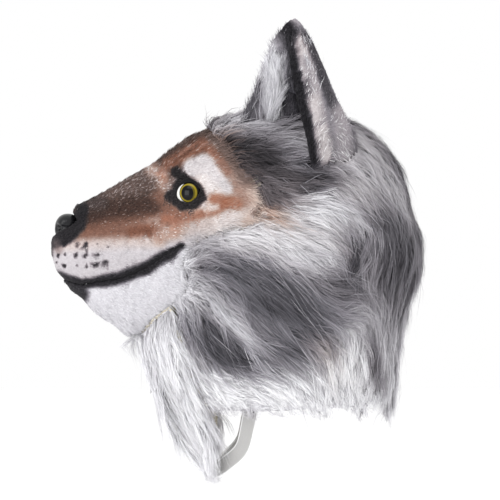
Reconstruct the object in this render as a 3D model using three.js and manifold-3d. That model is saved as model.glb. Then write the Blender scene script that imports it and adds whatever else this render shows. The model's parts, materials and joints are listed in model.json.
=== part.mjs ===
// Full-head wolf mask: plush face and jaw, fur hood, hanging throat bib, ears, eyes, nose and throat band.
// Millimetres, +Z up. The nose points to -Y and the wearer's left is +X.
// The origin is the seat on the wearer's crown.
import * as THREE from 'three';
import { mergeVertices } from 'three/addons/utils/BufferGeometryUtils.js';
import Module from 'manifold-3d';

const wasm = await Module();
wasm.setup();

// Head form
const MUZZLE_LENGTH = 138; // eyes to the front of the muzzle
const SKULL_LENGTH = 210; // eyes to the back of the cloth
const SKULL_HEIGHT = 218; // crown to the underside of the jaw
const SKULL_HALF_WIDTH = 103;
const MUZZLE_HALF_WIDTH = 33;
const NECK_HALF_WIDTH = 92;
const NECK_DROP = 142; // underside of the jaw to the tip of the bib
const EYES_AHEAD = 110; // eyes ahead of the seat

// Cloth and fur
const FACE_WALL = 4; // plush over thin foam
const HOOD_WALL = 3; // knitted backing, whose inside rests on the wearer's crown
const BIB_WALL = 2.5;
const FUR_DEPTH = 20; // long fur lying down
const BIB_FUR_DEPTH = 9;
const SEAM_DEPTH = 0.12; // share of the fur's depth left at a seam
const SEAM_RAMP = 26; // distance from a seam at which fur is at full depth
const LOCK_WIDTH = 22;
const LOCK_THICKNESS = 9;
const LOCK_LENGTH = 46;
const BIB_LOCK_LENGTH = 62;
const HEM_FUR_DROP = 8; // fur layer below the hem of the hood
const LOCK_SINK = 2; // depth of a lock's middle under the lying fur
const LOCK_SAG = 9; // a lock's bend down onto the head at its tip
const LOCK_RIDGE_TURN = 0.25; // of a full turn, so that a lock's ridge faces outwards
const BIB_COMB = 66; // degrees from straight back towards straight down
const GAP = 0.3; // between neighbouring pieces
const FACET_SAG = 1; // facets of a round form lie this far inside it
const NECK_WIDEST = 0.55; // where the neck is widest, as a share from its front to its back
const NECK_ROUNDNESS = { rear: 2.2, front: 1.9 }; // 2 for an ellipse

// Ears
const EAR_HEIGHT = 127;
const EAR_DEPTH = 105;
const EAR_WIDTH = 66;
const EAR_OUT = 70; // root centre from the middle plane
const EAR_ROOT = { along: 0.524, down: 0.119 };
const EAR_WALL = 5;
const TUFT_WALL = 2;
const TUFT_LOCK_LENGTH = 44;
const TUFT_LOCK_WIDTH = 12;
const TUFT_LOCK_THICKNESS = 8.4;
const TUFT_LOCK_LIFT = 4;
// The lined part of the ear: across from the front rail (0) to the outer rail (1), and rail points upwards.
const TUFT_LINER = { from: 0.14, to: 0.86, firstStep: 2, lastStep: 4 };

// Eyes
const EYE_HALF_LENGTH = 14.5;
const EYE_HALF_HEIGHT = 11;
const EYE_DOME_RADIUS = 17;
const EYE_STANDOFF = 1.5; // dome's front beyond the plush
const EYE_DEPTH = 12;
const EYE_LID_BULGE = 1.75; // height of a lid curve's control point over the opening's half height
const EYE_TURN = 24; // degrees towards the nose
const EYE_TILT = 12; // degrees of the opening's rise towards the ear
const EYE_CENTRE = { along: -0.009, down: 0.345 };

// Nose
const NOSE_HALF_WIDTH = 17;
const NOSE_DEPTH = 25;
const NOSE_HEIGHT = 27;
const NOSE_ROUNDNESS = { across: 2.5, along: 2.3 }; // 2 for an ellipsoid, more for a blockier nose
const NOSE_TAPER = 0.3; // share of the width lost towards the lip
const NOSE_TAPER_START = 0.4; // of the half height above the middle
const NOSE_LEAN = 1.5; // top set back from the middle
const NOSE_CENTRE = { along: -0.915, down: 0.497 };
const NOSTRIL_LENGTH = 11;
const NOSTRIL_HEIGHT = 7;
const NOSTRIL_CENTRE = { out: 0.72, ahead: 0.74, under: 0.12 }; // of the nose's half width, depth and height

// Throat band
const BAND_WIDTH = 15;
const BAND_THICKNESS = 1.5;

// Fineness of the faceted forms
const RING_SIDES = 20;
const NECK_SIDES = 20;
const LOCK_SIDES = 3;
const EAR_STEPS_ACROSS = 5;
const EYE_DOME_SIDES = { round: 20, tall: 14 };
const EYE_LID_STEPS = 7;
const NOSE_SIDES = { round: 16, tall: 10 };
const NOSTRIL_SIDES = { round: 8, tall: 6 };
const BAND_STEPS = 28;
const NORMAL_STEP = 0.02; // between the points that a normal is worked out from
const EAR_NORMAL_STEP = 0.05;
const WELD = 1e-4; // points closer than this are one point
const NEARNESS_POWER = 3; // how strongly the nearest place of a table counts
const DEG = Math.PI / 180;
const FAR = 400; // reach of a cutting prism beyond the mask

// Sections of the head from the muzzle's front to the back.
// along: share of MUZZLE_LENGTH ahead of the eyes (below 0) or of SKULL_LENGTH behind them.
// top, bottom: shares of SKULL_HEIGHT under the crown.
// muzzle, skull: shares of MUZZLE_HALF_WIDTH and SKULL_HALF_WIDTH whose sum is the half width.
// wide: height of the widest level, from 0 at the bottom to 1 at the top.
// over, under: roundness above and below that level, 2 for an ellipse.
const HEAD_SECTIONS = [
  { along: -1.0, top: 0.54, bottom: 0.63, muzzle: 0.4, skull: 0.0, wide: 0.5, over: 2.0, under: 2.0 },
  { along: -0.97, top: 0.505, bottom: 0.69, muzzle: 0.66, skull: 0.0, wide: 0.5, over: 2.0, under: 2.0 },
  { along: -0.91, top: 0.455, bottom: 0.745, muzzle: 0.85, skull: 0.0, wide: 0.47, over: 2.0, under: 2.0 },
  { along: -0.83, top: 0.395, bottom: 0.793, muzzle: 0.96, skull: 0.0, wide: 0.44, over: 2.0, under: 2.0 },
  { along: -0.725, top: 0.365, bottom: 0.855, muzzle: 1.03, skull: 0.0, wide: 0.45, over: 2.0, under: 1.9 },
  { along: -0.58, top: 0.315, bottom: 0.93, muzzle: 1.06, skull: 0.03, wide: 0.48, over: 1.95, under: 1.8 },
  { along: -0.42, top: 0.255, bottom: 0.99, muzzle: 1.0, skull: 0.1, wide: 0.5, over: 1.9, under: 1.8 },
  { along: -0.29, top: 0.212, bottom: 1.0, muzzle: 0.85, skull: 0.2, wide: 0.5, over: 1.9, under: 1.8 },
  { along: -0.145, top: 0.14, bottom: 1.0, muzzle: 0.5, skull: 0.4, wide: 0.5, over: 1.95, under: 1.9 },
  { along: 0.0, top: 0.075, bottom: 1.0, muzzle: 0.1, skull: 0.63, wide: 0.5, over: 2.0, under: 2.0 },
  { along: 0.07, top: 0.05, bottom: 1.0, muzzle: 0.0, skull: 0.745, wide: 0.5, over: 2.05, under: 2.1 },
  { along: 0.165, top: 0.026, bottom: 1.0, muzzle: 0.0, skull: 0.84, wide: 0.5, over: 2.1, under: 2.1 },
  { along: 0.285, top: 0.008, bottom: 1.0, muzzle: 0.0, skull: 0.925, wide: 0.5, over: 2.15, under: 2.1 },
  { along: 0.45, top: 0.0, bottom: 1.0, muzzle: 0.0, skull: 0.99, wide: 0.5, over: 2.15, under: 2.1 },
  { along: 0.62, top: 0.009, bottom: 0.98, muzzle: 0.0, skull: 1.0, wide: 0.5, over: 2.15, under: 2.1 },
  { along: 0.74, top: 0.046, bottom: 0.94, muzzle: 0.0, skull: 0.955, wide: 0.5, over: 2.1, under: 2.1 },
  { along: 0.835, top: 0.1, bottom: 0.885, muzzle: 0.0, skull: 0.87, wide: 0.5, over: 2.1, under: 2.1 },
  { along: 0.905, top: 0.17, bottom: 0.82, muzzle: 0.0, skull: 0.74, wide: 0.5, over: 2.1, under: 2.1 },
  { along: 0.952, top: 0.243, bottom: 0.757, muzzle: 0.0, skull: 0.585, wide: 0.5, over: 2.0, under: 2.0 },
  { along: 0.985, top: 0.335, bottom: 0.675, muzzle: 0.0, skull: 0.39, wide: 0.5, over: 2.0, under: 2.0 },
  { along: 1.0, top: 0.44, bottom: 0.578, muzzle: 0.0, skull: 0.175, wide: 0.5, over: 2.0, under: 2.0 },
];

// Level sections of the neck and throat from under the head down to the tip of the bib.
// down: share of SKULL_HEIGHT under the crown, and past 1 a share of NECK_DROP more.
// front, back: places along, as in the head's sections. half: share of NECK_HALF_WIDTH.
const NECK_SECTIONS = [
  { down: 0.62, front: 0.05, back: 0.94, half: 0.9 },
  { down: 0.8, front: -0.05, back: 0.962, half: 1.0 },
  { down: 0.9, front: -0.2, back: 0.96, half: 1.0 },
  { down: 1.0, front: -0.325, back: 0.948, half: 0.97 },
  { down: 1.2, front: -0.27, back: 0.93, half: 0.945 },
  { down: 1.43, front: -0.15, back: 0.915, half: 0.92 },
  { down: 1.65, front: 0.0, back: 0.91, half: 0.86 },
  { down: 1.83, front: 0.055, back: 0.905, half: 0.78 },
  { down: 1.985, front: 0.105, back: 0.9, half: 0.7 },
];

// Seams in side view, as places along and down.
const FACE_SEAM = [
  { along: 0.07, down: -0.25 },
  { along: 0.065, down: 0.035 },
  { along: 0.165, down: 0.14 },
  { along: 0.26, down: 0.28 },
  { along: 0.33, down: 0.4 },
  { along: 0.3, down: 0.475 },
  { along: 0.165, down: 0.505 },
  { along: 0.025, down: 0.555 },
  { along: -0.05, down: 0.655 },
  { along: -0.025, down: 0.775 },
  { along: -0.11, down: 0.84 },
  { along: -0.26, down: 0.91 },
  { along: -0.355, down: 0.975 },
  { along: -0.45, down: 1.08 },
  { along: -0.6, down: 1.3 },
];
const MOUTH_LINE = [
  { along: -1.4, down: 0.56 },
  { along: -1.0, down: 0.69 },
  { along: -0.9, down: 0.735 },
  { along: -0.768, down: 0.757 },
  { along: -0.65, down: 0.743 },
  { along: -0.47, down: 0.725 },
  { along: -0.3, down: 0.674 },
  { along: -0.145, down: 0.606 },
  { along: -0.05, down: 0.58 },
  { along: 0.1, down: 0.6 },
  { along: 1.2, down: 0.6 },
];
const BIB_SEAM = [
  { along: -0.18, down: 0.812 },
  { along: -0.1, down: 0.885 },
  { along: -0.072, down: 0.97 },
  { along: -0.03, down: 1.06 },
  { along: 0.01, down: 1.22 },
  { along: 0.043, down: 1.345 },
  { along: 0.067, down: 1.445 },
  { along: 0.129, down: 1.585 },
  { along: 0.124, down: 1.76 },
  { along: 0.114, down: 1.97 },
  { along: 0.124, down: 2.3 },
];
const HOOD_HEM = [
  { along: -0.5, down: 1.452 },
  { along: 0.07, down: 1.452 },
  { along: 0.33, down: 1.438 },
  { along: 0.67, down: 1.42 },
  { along: 1.5, down: 1.36 },
];

// Depth of the lying fur at places along and down, as shares of FUR_DEPTH.
const FUR_PLACES = [
  { along: 0.15, down: 0.0, depth: 0.5 },
  { along: 0.5, down: -0.05, depth: 0.4 },
  { along: 0.85, down: 0.05, depth: 0.4 },
  { along: 1.0, down: 0.35, depth: 0.35 },
  { along: 1.0, down: 0.6, depth: 0.85 },
  { along: 0.95, down: 0.95, depth: 0.5 },
  { along: 0.9, down: 1.4, depth: 0.55 },
  { along: 0.35, down: 0.2, depth: 0.3 },
  { along: 0.3, down: 0.65, depth: 0.65 },
  { along: 0.55, down: 0.6, depth: 0.75 },
  { along: 0.2, down: 1.1, depth: 0.5 },
  { along: 0.5, down: 1.3, depth: 0.35 },
];

// Which way the fur is combed at places along and down: degrees in side view from
// straight back (0) towards straight down (90).
const COMB_PLACES = [
  { along: 0.15, down: 0.0, comb: -25 },
  { along: 0.5, down: 0.0, comb: 10 },
  { along: 0.85, down: 0.1, comb: 40 },
  { along: 1.0, down: 0.4, comb: 70 },
  { along: 1.0, down: 0.8, comb: 80 },
  { along: 0.95, down: 1.2, comb: 85 },
  { along: 0.35, down: 0.25, comb: 20 },
  { along: 0.3, down: 0.55, comb: 5 },
  { along: 0.55, down: 0.7, comb: 25 },
  { along: 0.15, down: 0.8, comb: 40 },
  { along: 0.25, down: 1.1, comb: 55 },
  { along: 0.5, down: 1.3, comb: 65 },
  { along: 0.8, down: 0.6, comb: 60 },
];

// Rows of locks round the head and neck.
// form: which form they grow on. at: place along the head, or down the neck.
// from, to: first and last lock, in degrees from straight up (head) or straight back (neck).
// count: locks on each side. long: share of LOCK_LENGTH. wide: share of LOCK_WIDTH. lift: rise of the tip.
const HEAD_LOCKS = [
  { form: 'head', at: 0.13, from: 0, to: 34, count: 2, long: 0.8, wide: 0.9, lift: 9 },
  { form: 'head', at: 0.65, from: 0, to: 0, count: 1, long: 1.0, wide: 1.2, lift: 3 },
  { form: 'head', at: 0.86, from: 14, to: 68, count: 2, long: 1.0, wide: 1.4, lift: 4 },
  { form: 'head', at: 0.975, from: 20, to: 115, count: 3, long: 1.1, wide: 1.3, lift: 3 },
  { form: 'head', at: 0.2, from: 96, to: 130, count: 2, long: 1.0, wide: 1.1, lift: 5 },
  { form: 'head', at: 0.42, from: 86, to: 120, count: 3, long: 1.2, wide: 1.1, lift: 6 },
  { form: 'head', at: 0.66, from: 74, to: 122, count: 2, long: 1.3, wide: 1.4, lift: 6 },
  { form: 'neck', at: 1.0, from: 0, to: 100, count: 3, long: 1.1, wide: 1.5, lift: 4 },
  { form: 'neck', at: 1.2, from: 14, to: 116, count: 4, long: 1.15, wide: 1.5, lift: 5 },
];

// Rows of hanging locks on the bib, as above, with from and to in degrees from straight ahead.
const BIB_LOCKS = [
  { at: 1.06, from: 0, to: 36, count: 3, long: 0.8, wide: 0.9, lift: 5 },
  { at: 1.3, from: 10, to: 38, count: 2, long: 0.9, wide: 0.9, lift: 4 },
  { at: 1.5, from: 0, to: 26, count: 2, long: 0.9, wide: 0.9, lift: 3 },
  { at: 1.65, from: 8, to: 8, count: 1, long: 0.6, wide: 0.7, lift: 2 },
];

// The middle of one lock from its root: run as a share of its length, size as a share of its section.
const LOCK_STATIONS = [
  { run: -0.1, size: 0.6 },
  { run: 0.3, size: 1.0 },
  { run: 0.7, size: 0.7 },
  { run: 1.0, size: 0.1 },
];

// Three rails up each ear, root to tip. Shares of EAR_DEPTH (back), EAR_HEIGHT (up) and EAR_WIDTH (out).
const EAR_RAILS = {
  front: [
    { back: -0.6, up: -0.1, out: -0.56 },
    { back: -0.57, up: 0.2, out: -0.48 },
    { back: -0.46, up: 0.39, out: -0.42 },
    { back: -0.36, up: 0.6, out: -0.3 },
    { back: -0.27, up: 0.8, out: -0.18 },
    { back: -0.11, up: 0.975, out: -0.07 },
  ],
  spine: [
    { back: 0.5, up: -0.2, out: -0.2 },
    { back: 0.43, up: 0.16, out: -0.12 },
    { back: 0.31, up: 0.35, out: -0.09 },
    { back: 0.21, up: 0.575, out: -0.06 },
    { back: 0.105, up: 0.79, out: -0.03 },
    { back: -0.055, up: 1.0, out: -0.03 },
  ],
  outer: [
    { back: 0.19, up: -0.56, out: 0.12 },
    { back: 0.14, up: -0.42, out: 0.41 },
    { back: 0.06, up: -0.04, out: 0.42 },
    { back: -0.04, up: 0.31, out: 0.3 },
    { back: -0.12, up: 0.63, out: 0.15 },
    { back: -0.08, up: 0.98, out: 0.0 },
  ],
};
// Share of EAR_WALL at each rail point.
const EAR_THICKNESS = [1, 1, 1, 0.95, 0.8, 0.35];

// Locks in the ear: across from the front rail (0) to the outer rail (1), up from root (0) to tip (1),
// lean towards the outer rail in degrees, long as a share of TUFT_LOCK_LENGTH.
const TUFT_LOCKS = [
  { across: 0.26, up: 0.42, lean: -6, long: 0.95 },
  { across: 0.5, up: 0.42, lean: 4, long: 1.1 },
  { across: 0.74, up: 0.42, lean: 10, long: 0.95 },
];

// The band's route, from the hood's hem to the tip of the bib: down as in the neck's sections,
// turn in degrees from straight ahead.
const BAND_ROUTE = [
  { down: 1.41, turn: 72 },
  { down: 1.62, turn: 62 },
  { down: 1.775, turn: 53 },
  { down: 1.88, turn: 36 },
  { down: 1.94, turn: 16 },
  { down: 1.95, turn: 0 },
];

const COLOURS = {
  face: '#6b554c',
  lower_jaw: '#d0ced3',
  hood: '#b9b4aa',
  head_fur: '#8b8a90',
  bib: '#d8d2c2',
  bib_fur: '#e2e2e6',
  ear: '#3a393e',
  ear_tuft: '#8f8d98',
  eye: '#8f7f1c',
  nose: '#141416',
  throat_band: '#c5c4c3',
};

function sideY(along) {
  const length = along < 0 ? MUZZLE_LENGTH : SKULL_LENGTH;
  return -EYES_AHEAD + along * length;
}

function sideZ(down) {
  const onHead = Math.min(down, 1);
  const onNeck = Math.max(down - 1, 0);
  return HOOD_WALL - onHead * SKULL_HEIGHT - onNeck * NECK_DROP;
}

// A power that keeps the sign, for rounded sections.
function softPower(value, roundness) {
  return Math.sign(value) * Math.abs(value) ** (2 / roundness);
}

// The table's row at a place, worked out between its neighbours.
function rowAt(table, column, place) {
  const last = table.length - 1;
  const after = table.findIndex((row) => row[column] >= place);
  if (after === 0) return table[0];
  if (after < 0) return table[last];
  const low = table[after - 1];
  const high = table[after];
  const share = (place - low[column]) / (high[column] - low[column]);
  const mixed = {};
  for (const key of Object.keys(low)) mixed[key] = low[key] + (high[key] - low[key]) * share;
  return mixed;
}

// A point on the head's cloth: turn is in radians from straight up towards +X.
function headPoint(along, turn) {
  const row = rowAt(HEAD_SECTIONS, 'along', along);
  const top = sideZ(row.top);
  const bottom = sideZ(row.bottom);
  const widest = bottom + (top - bottom) * row.wide;
  const half = row.muzzle * MUZZLE_HALF_WIDTH + row.skull * SKULL_HALF_WIDTH;
  const upper = Math.cos(turn) >= 0;
  const roundness = upper ? row.over : row.under;
  const reach = upper ? top - widest : widest - bottom;
  return new THREE.Vector3(
    half * softPower(Math.sin(turn), roundness),
    sideY(row.along),
    widest + reach * softPower(Math.cos(turn), roundness),
  );
}

// A point on the neck's cloth: turn is in radians from straight back towards +X.
function neckPoint(down, turn) {
  const row = rowAt(NECK_SECTIONS, 'down', down);
  const front = sideY(row.front);
  const back = sideY(row.back);
  const widest = front + (back - front) * NECK_WIDEST;
  const rear = Math.cos(turn) >= 0;
  const roundness = rear ? NECK_ROUNDNESS.rear : NECK_ROUNDNESS.front;
  const reach = rear ? back - widest : widest - front;
  return new THREE.Vector3(
    row.half * NECK_HALF_WIDTH * softPower(Math.sin(turn), roundness),
    widest + reach * softPower(Math.cos(turn), roundness),
    sideZ(row.down),
  );
}

// The outward normal of a form at a place, from its own slopes.
function normalAt(form, place, turn) {
  const ends = form === headPoint
    ? [HEAD_SECTIONS[0].along, HEAD_SECTIONS.at(-1).along]
    : [NECK_SECTIONS[0].down, NECK_SECTIONS.at(-1).down];
  const low = form(Math.max(place - NORMAL_STEP, ends[0]), turn);
  const high = form(Math.min(place + NORMAL_STEP, ends[1]), turn);
  const left = form(place, turn - NORMAL_STEP);
  const right = form(place, turn + NORMAL_STEP);
  return right.sub(left).cross(high.sub(low)).normalize();
}

// The same form grown outwards by a depth that may differ from point to point.
function grown(form, depthAt) {
  return (place, turn) => {
    const point = form(place, turn);
    return point.addScaledVector(normalAt(form, place, turn), depthAt(point.clone()));
  };
}

// A closed solid through rings of points, capped at both ends. The diagonals of its second half
// mirror those of the first, so that a form with two like sides has like facets.
function solidFromRings(rings) {
  const sides = rings[0].length;
  const points = [];
  for (const ring of rings) {
    for (const point of ring) points.push(point.x, point.y, point.z);
  }
  for (const ring of [rings[0], rings.at(-1)]) {
    const middle = new THREE.Vector3();
    for (const point of ring) middle.addScaledVector(point, 1 / sides);
    points.push(middle.x, middle.y, middle.z);
  }
  const firstMiddle = rings.length * sides;
  const lastMiddle = firstMiddle + 1;
  const lastRing = (rings.length - 1) * sides;
  const faces = [];
  for (let side = 0; side < sides; side += 1) {
    const next = (side + 1) % sides;
    for (let row = 0; row < rings.length - 1; row += 1) {
      const a = row * sides + side;
      const b = row * sides + next;
      const c = a + sides;
      const d = b + sides;
      if (side < sides / 2) faces.push(a, c, b, b, c, d);
      else faces.push(a, c, d, a, d, b);
    }
    faces.push(side, next, firstMiddle);
    faces.push(lastRing + next, lastRing + side, lastMiddle);
  }
  return toSolid(points, faces);
}

// A manifold solid from loose points and faces, turned the right way out.
function toSolid(points, faces) {
  const make = (triangles) => {
    const geometry = new THREE.BufferGeometry();
    geometry.setAttribute('position', new THREE.Float32BufferAttribute(points, 3));
    geometry.setIndex(triangles);
    return solidFromGeometry(geometry);
  };
  const solid = make(faces);
  if (solid.volume() > 0) return solid;
  const turned = [];
  for (let face = 0; face < faces.length; face += 3) turned.push(faces[face], faces[face + 2], faces[face + 1]);
  return make(turned);
}

function solidFromGeometry(geometry) {
  const bare = geometry.clone();
  bare.deleteAttribute('normal');
  bare.deleteAttribute('uv');
  const merged = mergeVertices(bare, WELD);
  const mesh = new wasm.Mesh({
    numProp: 3,
    vertProperties: new Float32Array(merged.attributes.position.array),
    triVerts: new Uint32Array(merged.index.array),
  });
  return new wasm.Manifold(mesh);
}

function geometryFromSolid(solid) {
  const mesh = solid.getMesh();
  const geometry = new THREE.BufferGeometry();
  geometry.setAttribute('position', new THREE.BufferAttribute(new Float32Array(mesh.vertProperties), 3));
  geometry.setIndex(new THREE.BufferAttribute(new Uint32Array(mesh.triVerts), 1));
  geometry.computeVertexNormals();
  return geometry;
}

function ringsOf(form, places, sides) {
  return places.map((place) => {
    const ring = [];
    for (let side = 0; side < sides; side += 1) ring.push(form(place, (side / sides) * 2 * Math.PI));
    return ring;
  });
}

// Head and neck as one filled form, grown by a depth. The neck runs on past its last section by reach.
function headForm(depthAt, reach = 0) {
  const headPlaces = HEAD_SECTIONS.map((row) => row.along);
  const neckPlaces = NECK_SECTIONS.map((row) => row.down);
  const head = solidFromRings(ringsOf(grown(headPoint, depthAt), headPlaces, RING_SIDES));
  const neckRings = ringsOf(grown(neckPoint, depthAt), neckPlaces, NECK_SIDES);
  if (reach > 0) {
    const lower = neckRings.at(-1).map((point) => point.clone().setZ(point.z - reach));
    neckRings.push(lower);
  }
  return head.add(solidFromRings(neckRings));
}

function even(depth) {
  return () => depth;
}

// A line in side view moved sideways: a positive shift moves it to the left of its own direction.
function shifted(line, shift) {
  const points = line.map((row) => new THREE.Vector2(sideY(row.along), sideZ(row.down)));
  return points.map((point, index) => {
    const before = points[Math.max(index - 1, 0)];
    const after = points[Math.min(index + 1, points.length - 1)];
    const way = after.clone().sub(before).normalize();
    return new THREE.Vector2(point.x - way.y * shift, point.y + way.x * shift);
  });
}

// A prism through the whole mask, from a side-view outline in Y and Z.
function sidePrism(outline) {
  const shape = new THREE.Shape(outline);
  const geometry = new THREE.ExtrudeGeometry(shape, { depth: 2 * FAR, bevelEnabled: false });
  geometry.translate(0, 0, -FAR);
  const turn = new THREE.Matrix4().makeBasis(
    new THREE.Vector3(0, 1, 0),
    new THREE.Vector3(0, 0, 1),
    new THREE.Vector3(1, 0, 0),
  );
  geometry.applyMatrix4(turn);
  return solidFromGeometry(geometry);
}

// Everything ahead of a line that runs from top to bottom in side view.
function aheadOf(line, shift) {
  const edge = shifted(line, shift);
  const top = new THREE.Vector2(-FAR, edge[0].y);
  const bottom = new THREE.Vector2(-FAR, edge.at(-1).y);
  return sidePrism([top, bottom, ...edge.reverse()]);
}

// Everything under a line that runs from front to back in side view.
function below(line, shift) {
  const edge = shifted(line, shift);
  const front = new THREE.Vector2(edge[0].x, -2 * FAR);
  const back = new THREE.Vector2(edge.at(-1).x, -2 * FAR);
  return sidePrism([front, back, ...edge.reverse()]);
}

// Distance in side view from a point to a seam.
function distanceToSeam(point, seam) {
  const place = new THREE.Vector3(0, point.y, point.z);
  let nearest = Infinity;
  for (let index = 0; index < seam.length - 1; index += 1) {
    const start = new THREE.Vector3(0, sideY(seam[index].along), sideZ(seam[index].down));
    const end = new THREE.Vector3(0, sideY(seam[index + 1].along), sideZ(seam[index + 1].down));
    const foot = new THREE.Line3(start, end).closestPointToPoint(place, true, new THREE.Vector3());
    nearest = Math.min(nearest, foot.distanceTo(place));
  }
  return nearest;
}

// A value between the places of a table, nearer places counting more.
function valueAt(table, column, point) {
  let total = 0;
  let weights = 0;
  for (const row of table) {
    const distance = Math.hypot(sideY(row.along) - point.y, sideZ(row.down) - point.z) + 1;
    const weight = 1 / distance ** NEARNESS_POWER;
    total += row[column] * weight;
    weights += weight;
  }
  return total / weights;
}

function seamRamp(point) {
  const distance = Math.min(distanceToSeam(point, FACE_SEAM), distanceToSeam(point, BIB_SEAM));
  return SEAM_DEPTH + (1 - SEAM_DEPTH) * THREE.MathUtils.smoothstep(distance, 0, SEAM_RAMP);
}

function headFurDepth(point) {
  return FUR_DEPTH * valueAt(FUR_PLACES, 'depth', point) * seamRamp(point);
}

function bibFurDepth(point) {
  return BIB_FUR_DEPTH * Math.sqrt(seamRamp(point));
}

// One lock of fur: a ridged, tapered tongue that lies along the form and lifts at its tip.
function lock({ root, heading, normal, length, width, thickness, lift, sag }) {
  const across = new THREE.Vector3().crossVectors(heading, normal).normalize();
  const rings = LOCK_STATIONS.map(({ run, size }) => {
    const rise = (lift - sag * run) * Math.max(run, 0) - LOCK_SINK;
    const middle = root.clone().addScaledVector(heading, run * length).addScaledVector(normal, rise);
    const ring = [];
    for (let corner = 0; corner < LOCK_SIDES; corner += 1) {
      const turn = (LOCK_RIDGE_TURN + corner / LOCK_SIDES) * 2 * Math.PI;
      const point = middle.clone();
      point.addScaledVector(across, Math.cos(turn) * size * width / 2);
      point.addScaledVector(normal, Math.sin(turn) * size * thickness / 2);
      ring.push(point);
    }
    return ring;
  });
  return solidFromRings(rings);
}

// The comb direction at a point, laid into the form.
function combedAlong(point, normal, degrees) {
  const way = new THREE.Vector3(0, Math.cos(degrees * DEG), -Math.sin(degrees * DEG));
  return way.addScaledVector(normal, -way.dot(normal)).normalize();
}

function mirrored(solid) {
  return solid.mirror([1, 0, 0]);
}

// Rows of locks on one form, on both sides. A lock on the middle plane is made once.
function lockRows(rows, formOf, startTurn, combOf, base) {
  const locks = [];
  for (const row of rows) {
    const form = formOf(row);
    for (let index = 0; index < row.count; index += 1) {
      const share = row.count > 1 ? index / (row.count - 1) : 0;
      const degrees = row.from + (row.to - row.from) * share;
      const turn = startTurn + degrees * DEG;
      const root = form(row.at, turn);
      const cloth = row.form === 'head' ? headPoint : neckPoint;
      const normal = normalAt(cloth, row.at, turn);
      const piece = lock({
        root,
        normal,
        heading: combedAlong(root, normal, combOf(root)),
        length: row.long * base.length,
        width: row.wide * base.width,
        thickness: base.thickness,
        lift: row.lift,
        sag: base.sag,
      });
      locks.push(piece);
      if (degrees !== 0) locks.push(mirrored(piece));
    }
  }
  return locks;
}

function fuse(solids) {
  return wasm.Manifold.union(solids);
}

// Ear sheet: a curved wall through three rails, spread off its middle surface.
function earPoint(across, step) {
  const place = (rail) => {
    const row = EAR_RAILS[rail][step];
    return new THREE.Vector3(
      EAR_OUT + row.out * EAR_WIDTH,
      sideY(EAR_ROOT.along) + row.back * EAR_DEPTH,
      sideZ(EAR_ROOT.down) + row.up * EAR_HEIGHT,
    );
  };
  const front = place('front');
  const spine = place('spine');
  const outer = place('outer');
  const bend = spine.clone().multiplyScalar(2).addScaledVector(front, -0.5).addScaledVector(outer, -0.5);
  const stay = 1 - across;
  return front.multiplyScalar(stay * stay)
    .addScaledVector(bend, 2 * stay * across)
    .addScaledVector(outer, across * across);
}

// The side of the ear sheet that faces into the hollow.
function earInward(across, step) {
  const last = EAR_RAILS.front.length - 1;
  const right = earPoint(Math.min(across + EAR_NORMAL_STEP, 1), step);
  const wide = right.sub(earPoint(Math.max(across - EAR_NORMAL_STEP, 0), step));
  const tall = earPoint(across, Math.min(step + 1, last)).sub(earPoint(across, Math.max(step - 1, 0)));
  return wide.cross(tall).normalize();
}

// A sheet between two depths off the ear's middle surface, over part of its width and height.
function earSheet({ outside, inside, from, to, firstStep, lastStep }) {
  const rings = [];
  for (let step = firstStep; step <= lastStep; step += 1) {
    const thin = EAR_THICKNESS[step];
    const outerSide = [];
    const innerSide = [];
    for (let index = 0; index <= EAR_STEPS_ACROSS; index += 1) {
      const across = from + (to - from) * (index / EAR_STEPS_ACROSS);
      const middle = earPoint(across, step);
      const inward = earInward(across, step);
      outerSide.push(middle.clone().addScaledVector(inward, -outside * thin));
      innerSide.push(middle.clone().addScaledVector(inward, inside * thin));
    }
    rings.push([...outerSide, ...innerSide.reverse()]);
  }
  return solidFromRings(rings);
}

function earShell(spread = 0) {
  return earSheet({
    outside: EAR_WALL / 2 + spread,
    inside: EAR_WALL / 2 + spread,
    from: -spread / EAR_DEPTH,
    to: 1 + spread / EAR_DEPTH,
    firstStep: 0,
    lastStep: EAR_RAILS.front.length - 1,
  });
}

function earTuft() {
  const start = EAR_WALL / 2 + GAP;
  const liner = earSheet({
    outside: 0,
    inside: start + TUFT_WALL,
    ...TUFT_LINER,
  });
  const steps = EAR_RAILS.front.length - 1;
  const locks = TUFT_LOCKS.map((row) => {
    const low = Math.floor(row.up * steps);
    const share = row.up * steps - low;
    const root = earPoint(row.across, low).lerp(earPoint(row.across, low + 1), share);
    const normal = earInward(row.across, low + 1);
    const upward = earPoint(row.across, low + 1).sub(earPoint(row.across, low)).normalize();
    upward.applyAxisAngle(normal, -row.lean * DEG);
    return lock({
      root: root.addScaledVector(normal, start + TUFT_WALL + LOCK_SINK / 2),
      heading: upward,
      normal,
      length: row.long * TUFT_LOCK_LENGTH,
      width: TUFT_LOCK_WIDTH,
      thickness: TUFT_LOCK_THICKNESS,
      lift: TUFT_LOCK_LIFT,
      sag: 0,
    });
  });
  return fuse([liner, ...locks]).subtract(earShell(3 * GAP));
}

// The turn at which the head's cloth reaches a level, on the upper half.
function turnAtLevel(along, level) {
  const row = rowAt(HEAD_SECTIONS, 'along', along);
  const top = sideZ(row.top);
  const bottom = sideZ(row.bottom);
  const widest = bottom + (top - bottom) * row.wide;
  const rise = (level - widest) / (top - widest);
  return Math.acos(rise ** (row.over / 2));
}

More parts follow.
